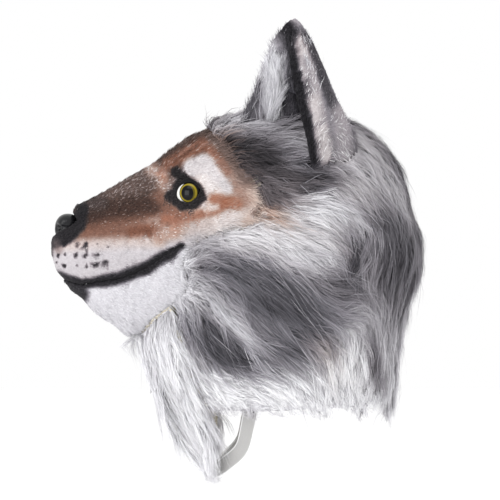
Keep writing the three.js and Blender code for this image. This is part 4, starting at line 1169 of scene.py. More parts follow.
@dataclass
class ShortPile:
    """Short plush pile on a skin, one layer of fine fibres lying back along the panel.

    lift is the rise of a fibre as a share of its length, veer the spread of its course in radians, and shade
    the spread of its tone.
    """

    name: str
    pattern: CoatPattern
    lie: FurLie
    count: int
    width_mm: float = 0.6
    lift: float = 0.42
    spread: float = 0.15
    seed: int = SEED
    along: tuple[tuple[float, float], ...] = ()
    reach_mm: float = 12.0
    veer: float = 0.28
    shade: float = 0.035
    # Added to the tone at root, middle and tip: painted shade at the root, painted light at the tip.
    root_shade_tip_light: tuple[float, float, float] = (-0.05, 0.0, 0.03)

    def grow(self, ground: Ground) -> bpy.types.Object:
        """Grow the pile, or only what lies along a line where one is given.

        Args:
            ground: Surface that it grows on.

        Returns:
            The pile as one piece.
        """
        random = np.random.default_rng(self.seed)
        weight = None
        if self.along:
            centres = charted(ground.places[ground.corners].mean(axis=1))
            weight = np.exp(-(distance_to_path(centres, self.along) / self.reach_mm) ** 2) + 1e-6
        roots, normals = ground.scatter(self.count, random, weight)
        ways, lengths = self.lie.at(roots)
        turn = random.normal(0, self.veer, self.count)[:, None]
        heading = laid(ways, normals, roots, self.spread)
        side = np.cross(normals, heading)
        heading = heading * np.cos(turn) + side * np.sin(turn)
        lengths = lengths * random.uniform(0.7, 1.3, self.count)
        rise = self.lift * random.uniform(0.6, 1.5, self.count)
        share = np.linspace(0, 1, 3)
        spines = (roots - normals * 0.5 * MM)[:, None, :] + lengths[:, None, None] * (
            heading[:, None, :] * share[None, :, None]
            + normals[:, None, :] * (rise[:, None] * (share - 0.45 * share ** 2)[None, :])[:, :, None]
        )
        places = charted(spines[:, 1])
        coat = self.pattern.paint(places + random.normal(0, 0.5, places.shape))
        pale = random.random(self.count) < coat[:, 2]
        tone = coat[:, 1] + random.normal(0, self.shade, self.count)
        tone = tone + np.where(pale, random.uniform(0.12, 0.38), 0)
        dyes_and_shade = np.empty((self.count, 3, 2))
        dyes_and_shade[:, :, 0] = np.where(pale, coat[:, 0] * 0.7, coat[:, 0])[:, None]
        # Painted shade towards the root and painted light towards the tip.
        dyes_and_shade[:, :, 1] = tone[:, None] + np.array(self.root_shade_tip_light)[None, :]
        roll = random.normal(0, 0.3, (self.count, 3))
        return strand_mesh(self.name, spines, normals + roll, np.full(self.count, self.width_mm * MM),
                           np.clip(dyes_and_shade, *TONE_LIMITS))


@dataclass
class LongFur:
    """Long faux fur in locks: fibres gather towards the middle of their lock, rise and fall back.

    gather is how far a fibre's tip is drawn to its lock's middle line, wisps the share of fibres that stay
    out of it, own_lock the share that keeps to the nearest lock, and veer the spread of a lock's course in
    radians. dense is a line along which more fur grows, over reach_mm, and elsewhere the weight of the rest.
    """

    name: str
    pattern: CoatPattern
    lie: FurLie
    locks: int
    count: int
    pieces: int = 1
    width_mm: float = 0.5
    sink_mm: float = 1.6
    rise_mm: float = 4.5
    gather: float = 0.75
    droop: float = 0.10
    longer: float = 1.0
    spread: float = 0.12
    wisps: float = 0.06
    lowest: float = 400.0
    dense: tuple[tuple[float, float], ...] = ()
    elsewhere: float = 1.0
    reach_mm: float = 9.0
    seed: int = SEED
    veer: float = 0.22
    loose_mm: float = 9.0
    own_lock: float = 0.72
    frizz_mm: float = 1.7
    wisp_frizz_mm: float = 5.0
    curl_mm: float = 0.8
    slide_mm: float = 4.0
    shade: float = 0.035
    # Added to the tone from root to tip: painted shade at the root, painted light at the tip.
    root_shade_tip_light: tuple[float, float, float, float] = (-0.05, 0.0, 0.02, 0.03)

    def axes(self, ground: Ground, roots: np.ndarray, normals: np.ndarray, lengths: np.ndarray,
             random: np.random.Generator, blockers: list[BVHTree]) -> np.ndarray:
        """Run the middle line of each lock over the surface.

        Args:
            ground: Surface that they grow on.
            roots: Where they start.
            normals: Surface normals there.
            lengths: Their lengths.
            random: Seeded source of chance.
            blockers: Solids that fur doesn't grow through.

        Returns:
            Middle lines, locks by points by three.
        """
        steps = AXIS_STEPS
        count = len(roots)
        swing = random.normal(0, self.veer, count)[:, None]
        height = self.rise_mm * MM * random.uniform(0.3, 1.5, count)
        spots = charted(roots)
        # The fur stands out more where it bulges over the nape.
        away = (spots - np.array(NAPE_MIDDLE)) / np.array(NAPE_REACH)
        height *= 1 + NAPE_GAIN * np.exp(-away[:, 0] ** 2 - away[:, 1] ** 2)
        lines = [roots - normals * self.sink_mm * MM]
        place = roots.copy()
        heading = None
        for step in range(1, steps + 1):
            share = step / steps
            _, facing = ground.nearest(place)
            ways, _ = self.lie.at(place)
            comb = laid(ways, facing, place, self.spread)
            side = np.cross(facing, comb)
            comb = comb * np.cos(swing) + side * np.sin(swing)
            comb[:, 2] -= self.droop * share
            heading = comb if heading is None else heading * 0.45 + comb * 0.55
            heading = unit(heading)
            place = place + heading * (lengths / steps)[:, None]
            near, facing = ground.nearest(place)
            above = ((place - near) * facing).sum(axis=1)
            wanted = height * math.sin(math.pi * min(share * 0.85, 1.0)) + 0.5 * MM
            loose = np.linalg.norm(place - near, axis=1) > self.loose_mm * MM
            lift = np.where(loose, 0.0, np.clip(wanted - above, -3 * MM, 6 * MM))
            place = place + facing * lift[:, None]
            lines.append(place.copy())
        spines = np.stack(lines, axis=1)
        if blockers:
            stop_at_blockers(spines, blockers)
        return spines

    def above_the_hem(self, centres: np.ndarray, combed: np.ndarray, lengths: np.ndarray,
                      random: np.random.Generator) -> np.ndarray:
        """Shorten the locks that would hang below the panel's hem.

        Args:
            centres: Where the locks start.
            combed: Their comb directions in Y and Z.
            lengths: Their lengths.
            random: Seeded source of chance.

        Returns:
            Their new lengths in metres.
        """
        chart = charted(centres)
        # The fur of the nape hangs lower than the hem.
        lower = np.where(chart[:, 0] > NAPE_FRONT, NAPE_HANG, 0)
        hang = self.lowest + random.uniform(-14, 7, self.locks) + lower - chart[:, 1]
        hang /= np.clip(-combed[:, 1], 0.35, 1.0)
        return np.minimum(lengths, np.maximum(hang, SHORTEST_LOCK) * MM)

    def homes(self, centres: np.ndarray, roots: np.ndarray, random: np.random.Generator) -> np.ndarray:
        """Choose the lock of each fibre: mostly the nearest, now and then one of the next two.

        Args:
            centres: Where the locks start.
            roots: Where the fibres start.
            random: Seeded source of chance.

        Returns:
            Number of each fibre's lock.
        """
        finder = KDTree(self.locks)
        for index, centre in enumerate(centres):
            finder.insert(centre, index)
        finder.balance()
        nearest = np.empty((self.count, 3), dtype=np.int64)
        for index, root in enumerate(roots):
            nearest[index] = [entry[1] for entry in finder.find_n(root, 3)]
        pick = np.where(random.random(self.count) < self.own_lock, 0, random.integers(1, 3, self.count))
        return nearest[np.arange(self.count), pick]

    def fibres(self, axis: np.ndarray, roots: np.ndarray, normals: np.ndarray,
               random: np.random.Generator) -> np.ndarray:
        """Run each fibre beside the middle line of its lock, drawn in towards it.

        Args:
            axis: Middle line of each fibre's lock, fibres by points by three.
            roots: Where the fibres start.
            normals: Surface normals there.
            random: Seeded source of chance.

        Returns:
            Middle lines of the fibres, fibres by points by three.
        """
        stops = axis.shape[1]
        share = np.linspace(0, 1, STRAND_POINTS)
        reach = random.uniform(0.72, 1.12, self.count)
        wild = random.random(self.count) < self.wisps
        reach = np.where(wild, reach * 1.22, reach)
        # Along the lock's own line, cut or drawn out to the fibre's length.
        along = share[None, :] * reach[:, None] * (stops - 1)
        low = np.clip(along.astype(int), 0, stops - 2)
        part = (along - low)[:, :, None]
        rows = np.arange(self.count)[:, None]
        line = axis[rows, low] * (1 - part) + axis[rows, low + 1] * part
        tight = np.where(wild, 0.35, random.uniform(0.75, 1.1, self.count))
        hold = (self.gather * share ** 1.15)[None, :] * tight[:, None]
        offset = roots - normals * self.sink_mm * MM - axis[:, 0]
        strands = line + offset[:, None, :] * (1 - hold)[:, :, None]
        frizz = random.normal(0, 1, (self.count, 1, 3)) * (share ** 1.5)[None, :, None]
        curl = random.normal(0, 1, (self.count, 1, 3)) * np.sin(share * math.pi)[None, :, None]
        amount = np.where(wild, self.wisp_frizz_mm, self.frizz_mm)[:, None, None] * MM
        strands += frizz * amount + curl * self.curl_mm * MM
        return strands

    def dye_and_shade(self, roots: np.ndarray, strands: np.ndarray, home: np.ndarray,
            random: np.random.Generator) -> np.ndarray:
        """Colour each fibre from the coat's colour at its root to that at its tip, with painted shade and
        light.

        Args:
            roots: Where the fibres start.
            strands: Their middle lines, fibres by points by three.
            home: Number of each fibre's lock.
            random: Seeded source of chance.

        Returns:
            Warmth and tone along each fibre, fibres by points by two.
        """
        places = charted(roots)
        ways, _ = self.lie.at(roots)
        slide = random.normal(0, self.slide_mm, self.count)[:, None] * (ways * np.array([1, -1]))
        lock_shade = random.normal(0, self.shade, self.locks)
        coat = self.pattern.paint(places + slide + random.normal(0, 1.0, places.shape))
        tip_coat = self.pattern.paint(charted(strands[:, -2]) + slide * 0.5)
        tone = coat[:, 1] + lock_shade[home] + random.normal(0, self.shade, self.count)
        ends = tip_coat[:, 1] + lock_shade[home] + random.normal(0, self.shade, self.count)
        blend = np.linspace(0, 1, STRAND_POINTS)[None, :] * 0.75
        dyes_and_shade = np.empty((self.count, STRAND_POINTS, 2))
        dyes_and_shade[:, :, 0] = coat[:, :1] * (1 - blend) + tip_coat[:, :1] * blend
        dyes_and_shade[:, :, 1] = tone[:, None] * (1 - blend) + ends[:, None] * blend
        # Painted shade towards the root and painted light towards the tip.
        dyes_and_shade[:, :, 1] += np.array(self.root_shade_tip_light)[None, :]
        return np.clip(dyes_and_shade, *TONE_LIMITS)

    def grow(self, ground: Ground, blockers: list[BVHTree]) -> list[bpy.types.Object]:
        """Grow the fur.

        Args:
            ground: Surface that it grows on.
            blockers: Solids that it doesn't grow through.

        Returns:
            The fur as one or more pieces of like size.
        """
        random = np.random.default_rng(self.seed)
        weight = None
        if self.dense:
            middles = charted(ground.places[ground.corners].mean(axis=1))
            away = distance_to_path(middles, self.dense) / self.reach_mm
            weight = self.elsewhere + 2.5 * np.exp(-away ** 2)
        centres, facing = ground.scatter(self.locks, random, weight)
        combed, lengths = self.lie.at(centres)
        lengths = lengths * self.longer * random.uniform(0.75, 1.25, self.locks)
        lengths = self.above_the_hem(centres, combed, lengths, random)
        spines = self.axes(ground, centres, facing, lengths, random, blockers)
        roots, normals = ground.scatter(self.count, random, weight)
        home = self.homes(centres, roots, random)
        axis = spines[home]
        strands = self.fibres(axis, roots, normals, random)
        dyes_and_shade = self.dye_and_shade(roots, strands, home, random)
        flat = ground_normals(axis, normals) + random.normal(0, 0.25, (self.count, 3))
        made = []
        order = np.argsort(roots[:, 1], kind="stable")
        for index, rows in enumerate(np.array_split(order, self.pieces)):
            name = self.name if self.pieces == 1 else f"{self.name}_{index + 1}"
            width = random.uniform(0.7, 1.3, len(rows)) * self.width_mm * MM
            made.append(strand_mesh(name, strands[rows], flat[rows], width, dyes_and_shade[rows]))
        return made


def stop_at_blockers(spines: np.ndarray, blockers: list[BVHTree]) -> None:
    """End middle lines where they would run through a solid.

    Args:
        spines: Middle lines, locks by points by three, changed in place.
        blockers: Solids that fur doesn't grow through.
    """
    steps = spines.shape[1] - 1
    for line in spines:
        for step in range(steps):
            start = Vector(line[step])
            run = Vector(line[step + 1]) - start
            if all(tree.ray_cast(start, run.normalized(), run.length)[0] is None for tree in blockers):
                continue
            stop = line[step] * 0.8 + line[step + 1] * 0.2
            tail = steps - step
            shares = np.arange(1, tail + 1)[:, None] / tail
            line[step + 1:] = line[step] + (stop - line[step]) * shares
            break


def ground_normals(axis: np.ndarray, normals: np.ndarray) -> np.ndarray:
    """Give the direction that strands face: their root's normal, turned square to their run.

    Args:
        axis: Middle lines, strands by points by three.
        normals: Surface normals at the roots.

    Returns:
        Unit directions, three to a row.
    """
    run = unit(axis[:, -1] - axis[:, 0])
    return unit(normals - (normals * run).sum(axis=1, keepdims=True) * run)


@dataclass
class SeamTrim:
    """Round beading along a seam, laid on the skins beside it on both sides of the mask."""

    name: str
    path: tuple[tuple[float, float], ...]
    radius_mm: float
    sink_mm: float
    slot: Slot
    joined: bool = False

    def line(self, skins: list[bpy.types.Object]) -> np.ndarray:
        """Lay the path on the left side of the skins.

        Args:
            skins: Skins beside the seam.

        Returns:
            Places in metres from the path's start to its end.
        """
        places = np.concatenate([vertices_of(skin.data) for skin in skins])
        normals = np.concatenate([normals_of(skin.data) for skin in skins])
        keep = faces_out(places, normals) & (places[:, 0] > -0.5 * MM)
        places, normals = places[keep], normals[keep]
        spots = charted(places)
        stops = []
        for start, end in zip(self.path[:-1], self.path[1:]):
            steps = max(int(math.dist(start, end) / 3), 1)
            run = np.array(end) - np.array(start)
            stops += [np.array(start) + run * step / steps for step in range(steps)]
        stops.append(np.array(self.path[-1]))
        laid_out = []
        for stop in stops:
            near = np.argsort(np.linalg.norm(spots - stop, axis=1))[:6]
            laid_out.append((places[near] - normals[near] * self.sink_mm * MM).mean(axis=0))
        line = np.array(laid_out)
        for _ in range(3):
            line[1:-1] = line[1:-1] * 0.5 + (line[:-2] + line[2:]) * 0.25
        return line

    def build(self, skins: list[bpy.types.Object], material: bpy.types.Material) -> None:
        """Build the trim as one piece for both sides.

        Args:
            skins: Skins beside the seam.
            material: The trim's material.
        """
        left = self.line(skins)
        right = left * np.array([-1, 1, 1])
        runs = [np.concatenate([left[::-1], right])] if self.joined else [left, right]
        curve = bpy.data.curves.new(self.name, "CURVE")
        curve.dimensions = "3D"
        curve.bevel_depth = self.radius_mm * MM
        curve.bevel_resolution = 3
        curve.use_fill_caps = True
        for run in runs:
            spline = curve.splines.new("POLY")
            spline.points.add(len(run) - 1)
            spline.points.foreach_set("co", np.concatenate([run, np.ones((len(run), 1))], axis=1).ravel())
        focus(placed(self.name, curve))
        bpy.ops.object.convert(target="MESH")
        bpy.ops.object.shade_smooth()
        enter(bpy.context.object, self.slot, material)


@dataclass(frozen=True)
class Swell:
    """One rounded rise or hollow of the face in side view, in millimetres. Back moves it towards the nape."""

    name: str
    x: float
    y: float
    radius: float
    height: float
    back: float = 0.0


@dataclass
class Face:
    """Plush face and lower jaw over foam, with their short pile."""

    voxel_mm: float = 2.0
    pile: int = 36000
    jaw_pile: int = 12000
    edge_pile: int = 5000
    jaw_edge_pile: int = 1500
    swells: tuple[Swell, ...] = (
        Swell("brow", 190, 164, 15, 2.6),
        Swell("brow inner", 172, 166, 9, 1.6),
        Swell("eye hollow", 166, 190, 9, -2.2),
        Swell("under eye", 195, 215, 12, 1.2),
        Swell("whisker pad", 86, 254, 20, 1.8),
        Swell("cheek", 165, 236, 15, 1.4),
        Swell("snout side hollow", 125, 218, 18, -1.4),
        Swell("jaw fold", 156, 278, 6, -1.6),
        Swell("jaw round", 120, 300, 20, 1.2),
        Swell("jaw tip", 126, 332, 12, 3.5),
        Swell("chin", 96, 312, 14, 2.6),
        Swell("nose seat", 70, 223, 10, -1.0, 9.0),
        Swell("chin front", 72, 290, 9, 2.0),
    )
    made: dict[str, bpy.types.Object] = field(default_factory=dict)

    def sculpt(self, piece: bpy.types.Object) -> None:
        """Raise and hollow the outer side of the plush.

        Args:
            piece: Skin to shape.
        """
        mesh = piece.data
        places = vertices_of(mesh)
        normals = normals_of(mesh)
        spots = charted(places)
        outer = faces_out(places, normals)[:, None]
        move = np.zeros(len(places))
        back = np.zeros(len(places))
        for swell in self.swells:
            away = np.hypot(spots[:, 0] - swell.x, spots[:, 1] - swell.y) / swell.radius
            move += swell.height * MM * np.exp(-away ** 2)
            back += swell.back * MM * np.exp(-away ** 2)
        places[:, 1] += back
        move += 0.25 * MM * grain(spots, 6, 9)
        mesh.vertices.foreach_set("co", (places + normals * outer * move[:, None]).ravel())
        mesh.update()

    def build(self) -> None:
        """Build both panels and their pile."""
        plush = ShearedPile("sheared_polyester_plush", 1.4, 0.10, 0.9).make()
        fibre = FauxFurFibre("polyester_plush_fibre").make()
        lie = FurLie(PLUSH_LIE_PLACES)
        panels = (("face", Slot.FACE, FACE_PATTERN, self.pile, self.edge_pile),
                  ("lower_jaw", Slot.JAW, JAW_PATTERN, self.jaw_pile, self.jaw_edge_pile))
        for node, slot, pattern, count, edge_count in panels:
            skin = soft_copy(node, f"{node}_plush", self.voxel_mm, 3, 0.7)
            self.sculpt(skin)
            paint_skin(skin, pattern, 0.06, 0.4)
            enter(skin, slot, plush, node)
            ground = Ground(skin)
            enter(ShortPile(f"{node}_pile", pattern, lie, count).grow(ground), slot, fibre)
            edge = ShortPile(f"{node}_edge_fur", pattern, FurLie(EDGE_LIE_PLACES), edge_count, 0.5, 0.3,
                             seed=SEED + 2, along=FACE_EDGE, reach_mm=6.0)
            enter(edge.grow(ground), slot, fibre)
            self.made[node] = skin
        lip = SeamTrim("lip_bead", MOUTH_LINE, 2.0, 1.4, Slot.FACE, joined=True)
        lip.build(list(self.made.values()), BlackVelvet("black_flocked_lip").make())


@dataclass
class Hood:
    """Fur hood: knitted backing, the lying coat and the long fur in locks."""

    voxel_mm: float = 2.9
    locks: int = 6000
    fibres: int = 79000
    guard_locks: int = 900
    guard_hairs: int = 700

    def build(self, blockers: list[BVHTree]) -> None:
        """Build the hood.

        Args:
            blockers: Ears that the fur doesn't grow through.
        """
        backing = soft_cloth("hood", "hood_backing")
        shear(backing, 1.8)
        enter(backing, Slot.BACKING, KnittedBacking().make(), "hood")
        coat = soft_copy("head_fur", "head_fur_coat", self.voxel_mm, 8, 0.4)
        shear(coat, 3.0)
        paint_skin(coat, COAT_PATTERN, 0.06)
        enter(coat, Slot.HEAD_FUR, ShearedPile("brushed_faux_fur", 1.8, 0.16, 1.6).make(), "head_fur")
        fibre = FauxFurFibre().make()
        ground = Ground(coat)
        lie = FurLie(LIE_PLACES)
        fur = LongFur("head_fur_locks", COAT_PATTERN, lie, self.locks, self.fibres, 3, dense=FACE_EDGE)
        guard = LongFur("head_fur_guard_hairs", GUARD_PATTERN, lie, self.guard_locks, self.guard_hairs,
                        width_mm=0.36, rise_mm=7.0, gather=0.3, longer=1.3, wisps=0.8, seed=SEED + 9)
        for piece in fur.grow(ground, blockers) + guard.grow(ground, blockers):
            enter(piece, Slot.HEAD_FUR, fibre)


@dataclass
class Bib:
    """Throat panel: knitted backing, coat and long hanging fur."""

    voxel_mm: float = 2.0
    locks: int = 900
    fibres: int = 17000

    def build(self) -> None:
        """Build the bib."""
        backing = soft_cloth("bib", "bib_backing")
        cotton = KnittedBacking("knitted_cotton_backing", "#dcd6c8", "#b5ad9c")
        enter(backing, Slot.BACKING, cotton.make(), "bib")
        coat = soft_copy("bib_fur", "bib_fur_coat", self.voxel_mm, 6, 0.4)
        shear(coat, 2.5, NECK)
        paint_skin(coat, BIB_PATTERN, 0.04)
        enter(coat, Slot.BIB_FUR, ShearedPile("brushed_white_faux_fur", 1.8, 0.08, 1.4).make(), "bib_fur")
        fur = LongFur("bib_fur_locks", BIB_PATTERN, FurLie(BIB_LIE_PLACES), self.locks, self.fibres,
                      sink_mm=0.8, rise_mm=3.0, droop=0.2, wisps=0.10, lowest=485.0, seed=SEED + 5,
                      dense=BIB_TOP)
        for piece in fur.grow(Ground(coat, core=NECK), []):
            enter(piece, Slot.BIB_FUR, FauxFurFibre("white_modacrylic_fibre").make())
        tape = SeamTrim("bib_seam_tape", BIB_SEAM, 1.4, -0.2, Slot.BACKING)
        tape.build([coat], KnittedBacking("cotton_seam_tape", "#dcd6c8", "#c9bf9f").make())


@dataclass
class Ears:
    """Two upright ears with short fur, a black rim and long tufts inside."""

    voxel_mm: float = 1.8
    pile: int = 9000
    tuft_locks: int = 200
    tuft_fibres: int = 4000
    plume_locks: int = 90
    plume_fibres: int = 3000
    blunt_from_mm: float = 94.0
    blunt_share: float = 0.5
    blockers: list[BVHTree] = field(default_factory=list)

    def build(self) -> None:
        """Build both ears."""
        skin_finish = ShearedPile("short_faux_fur", 1.2, 0.14, 1.0).make()
        fibre = FauxFurFibre("short_fur_fibre").make()
        for side, sign in (("left", 1), ("right", -1)):
            skin = soft_copy(f"ear_{side}", f"ear_{side}_shell", self.voxel_mm, 6, 0.5)
            shear(skin, 1.0)
            for vertex in skin.data.vertices:
                # The sewn tip is blunt.
                vertex.co.z -= max(vertex.co.z - self.blunt_from_mm * MM, 0.0) * self.blunt_share
            paint_skin(skin, EAR_PATTERN, 0.06)
            enter(skin, Slot.EAR_FUR, skin_finish, f"ear_{side}")
            self.blockers.append(BVHTree.FromPolygons(
                [vertex.co for vertex in skin.data.vertices], [face.vertices for face in skin.data.polygons]))
            pile = ShortPile(f"ear_{side}_fur", EAR_PATTERN, FurLie(EAR_LIE_PLACES), self.pile, 0.5, 0.3,
                             0.1, SEED + 20 + sign)
            enter(pile.grow(Ground(skin, outward_only=False)), Slot.EAR_FUR, fibre)
            liner = soft_copy(f"ear_tuft_{side}", f"ear_{side}_tuft_bed", 0.9, 3, 0.3)
            paint_skin(liner, TUFT_PATTERN, 0.2)
            enter(liner, Slot.EAR_TUFT, skin_finish, f"ear_tuft_{side}")
            tufts = LongFur(f"ear_{side}_tufts", TUFT_PATTERN, FurLie(TUFT_LIE_PLACES), self.tuft_locks,
                            self.tuft_fibres, width_mm=0.45, sink_mm=0.5, rise_mm=2.0, droop=-0.1, gather=0.6,
                            longer=0.7, seed=SEED + 30 + sign)
            plume = LongFur(f"ear_{side}_plume", TUFT_PATTERN, FurLie(PLUME_LIE_PLACES), self.plume_locks,
                            self.plume_fibres, width_mm=0.42, sink_mm=0.5, rise_mm=6.0, droop=-0.05,
                            gather=0.6, seed=SEED + 40 + sign, dense=PLUME_LINE, elsewhere=0.0, reach_mm=4.5)
            inner = Ground(skin, outward_only=False).facing((sign, -0.4, 0.0))
            bed = Ground(liner, outward_only=False).facing((0.5 * sign, -1.0, 0.0))
            for piece in tufts.grow(bed, []) + plume.grow(inner, []):
                enter(piece, Slot.EAR_TUFT, fibre)


@dataclass
class Eyes:
    """Two resin eyes in flocked openings.

    pinch narrows the corners of an opening's rim, rim_wide and rim_high are its thickness along and out of
    the face, rim_sink sets it into the face, and rim_curve bends it back towards its corners.
    """

    centre: tuple[float, float, float] = (61.19, -111.24, -72.21)
    turn: float = 24.0
    tilt: float = 12.0
    radius: float = 17.0
    standoff: float = 1.5
    flatten: tuple[float, float, float] = (0.9, 0.84, 0.6)
    gaze: float = 1.0
    half_long: float = 14.2
    half_high: float = 11.6
    pinch: float = 0.30
    rim_wide: float = 11
    rim_high: float = 12
    rim_sink: float = 1.6
    rim_curve: float = 0.018

    def place(self, sign: int) -> Matrix:
        """Give the eye's own frame: X along the opening, Y up, Z out of the face.

        Args:
            sign: 1 for the left eye and -1 for the right.

        Returns:
            Turning and place as one matrix in metres.
        """
        angle = math.radians(self.turn)
        out = Vector((sign * math.cos(angle), -math.sin(angle), 0))
        up = Vector((0, 0, 1))
        run = up.cross(out).normalized()
        turned = Matrix((run, up, out)).transposed().to_4x4()
        tilted = turned @ Matrix.Rotation(math.radians(self.tilt * sign), 4, "Z")
        spot = Vector(self.centre) * MM
        spot.x *= sign
        return Matrix.Translation(spot) @ tilted

    def ball(self, side: str, sign: int) -> bpy.types.Object:
        """Make the front of one eyeball.

        Args:
            side: left or right.
            sign: 1 for left and -1 for right.

        Returns:
            The eyeball.
        """
        deselect()
        bpy.ops.mesh.primitive_uv_sphere_add(segments=48, ring_count=32, radius=self.radius * MM)
        piece = bpy.context.object
        piece.name = f"eye_{side}_ball"
        bpy.ops.object.mode_set(mode="EDIT")
        bpy.ops.mesh.select_all(action="SELECT")
        bpy.ops.mesh.bisect(plane_co=(0, 0, 4 * MM), plane_no=(0, 0, 1), use_fill=True, clear_inner=True)
        bpy.ops.object.mode_set(mode="OBJECT")
        mesh = piece.data
        layer = mesh.uv_layers.new(name="Gaze")
        for loop in mesh.loops:
            spot = mesh.vertices[loop.vertex_index].co / MM
            across = sign * spot.x * self.flatten[0] - self.gaze
            layer.data[loop.index].uv = (across, spot.y * self.flatten[1])
        flatten = Matrix.Diagonal((*self.flatten, 1))
        mesh.transform(self.place(sign) @ Matrix.Translation((0, 0, self.standoff * MM)) @ flatten
                       @ Matrix.Translation((0, 0, -self.radius * MM)))
        bpy.ops.object.shade_smooth()
        return piece

    def rim(self, side: str, sign: int) -> bpy.types.Object:
        """Make the flocked rim round one opening.

        Args:
            side: left or right.
            sign: 1 for left and -1 for right.

        Returns:
            The rim.
        """
        deselect()
        bpy.ops.mesh.primitive_torus_add(major_radius=1.0, minor_radius=0.13, major_segments=64,
                                         minor_segments=12)
        piece = bpy.context.object
        piece.name = f"eye_{side}_rim"
        for vertex in piece.data.vertices:
            across, up, out = vertex.co
            turn = math.atan2(up, across)
            ring = math.hypot(across, up)
            narrow = 1 - self.pinch * abs(math.cos(turn)) ** 6
            base = Vector((math.cos(turn) * self.half_long, math.sin(turn) * self.half_high * narrow, 0))
            off = Vector((math.cos(turn), math.sin(turn), 0)) * (ring - 1) * self.rim_wide
            rise = out * self.rim_high - self.rim_sink - self.rim_curve * base.x ** 2
            vertex.co = (base + off + Vector((0, 0, rise))) * MM
        piece.data.transform(self.place(sign))
        bpy.ops.object.shade_smooth()
        return piece

    def build(self) -> None:
        """Build both eyes."""
        resin = ResinEye().make()
        flock = BlackVelvet().make()
        for side, sign in (("left", 1), ("right", -1)):
            enter(self.ball(side, sign), Slot.EYE, resin, f"eye_{side}")
            enter(self.rim(side, sign), Slot.FACE, flock)


@dataclass
class Nose:
    """Moulded nose: a rounded block, narrower below, with a comma-shaped nostril on each side.

    roundness holds the powers of the block's section, hole and slit the reach of a nostril and of its slit.
    """

    centre: tuple[float, float, float] = (0.0, -233.6, -104.6)
    half_width: float = 18.2
    depth: float = 23.0
    height: float = 26.0
    taper: float = 0.3
    lean: float = 1.5
    roundness: tuple[float, float, float] = (2.5, 2.3, 2.3)
    hole: tuple[float, float, float] = (4.2, 5.0, 3.2)
    slit: tuple[float, float, float] = (4.0, 5.5, 2.0)
    hole_depth: float = 5.5
    groove_depth: float = 1.4

    def build(self) -> None:
        """Build the nose."""
        deselect()
        bpy.ops.mesh.primitive_uv_sphere_add(segments=96, ring_count=64, radius=1.0)
        piece = bpy.context.object
        piece.name = "nose_moulding"
        places = vertices_of(piece.data)
        shaped = np.sign(places) * np.abs(places) ** (2 / np.array(self.roundness))
        fall = np.clip((-shaped[:, 2] + 0.4) / 1.4, 0, 1)
        narrow = 1 - self.taper * fall * fall * (3 - 2 * fall)
        spots = np.stack([
            shaped[:, 0] * narrow * self.half_width,
            shaped[:, 1] * self.depth / 2 + self.lean * shaped[:, 2],
            shaped[:, 2] * self.height / 2,
        ], axis=1)
        for sign in (1, -1):
            hole = np.array([sign * self.half_width * 0.62, -self.depth * 0.42, -self.height * 0.05])
            slit = np.array([sign * self.half_width * 0.92, -self.depth * 0.22, -self.height * 0.02])
            depth = np.exp(-(((spots - hole) / np.array(self.hole)) ** 2).sum(axis=1))
            cut = np.exp(-(((spots - slit) / np.array(self.slit)) ** 2).sum(axis=1))
            spots[:, 1] += self.hole_depth * depth
            spots[:, 0] -= sign * (3.0 * depth + 2.4 * cut)
        front = np.clip((-spots[:, 1] - 4) / 8, 0, 1)
        below = np.clip((4 - spots[:, 2]) / 6, 0, 1)
        spots[:, 1] += self.groove_depth * (np.exp(-(spots[:, 0] / 1.5) ** 2) * front * below)
        piece.data.vertices.foreach_set("co", ((spots + np.array(self.centre)) * MM).ravel())
        piece.data.update()
        bpy.ops.object.shade_smooth()
        enter(piece, Slot.NOSE, GlossyNose().make(), "nose")


@dataclass(frozen=True)
class BandStop:
    """One stop of the band's route from the hood's hem to the tip of the bib, in millimetres."""

    x: float
    y: float
    z: float
    face_x: float
    face_y: float
    face_z: float


BAND_STOPS = tuple(BandStop(*row) for row in (
    (75.6, -47.2, -272.6, 0.96, -0.24, -0.13), (72.2, -49.0, -283.1, 0.93, -0.28, -0.20),
    (68.7, -50.8, -293.6, 0.91, -0.33, -0.26), (64.9, -52.8, -303.2, 0.88, -0.37, -0.31),
    (61.2, -54.4, -311.5, 0.86, -0.40, -0.32), (57.1, -56.3, -319.2, 0.83, -0.44, -0.34),
    (52.1, -59.8, -325.9, 0.80, -0.49, -0.35), (46.0, -65.0, -331.5, 0.75, -0.55, -0.37),
    (39.2, -70.6, -336.3, 0.69, -0.62, -0.39), (32.1, -75.2, -340.3, 0.60, -0.69, -0.40),
    (24.4, -79.2, -343.6, 0.50, -0.76, -0.41), (16.8, -82.5, -346.0, 0.38, -0.82, -0.42),
    (10.9, -84.3, -347.2, 0.26, -0.87, -0.42), (5.4, -85.4, -347.6, 0.13, -0.89, -0.43),
    (0.0, -85.8, -347.7, 0.0, -0.90, -0.43),
))


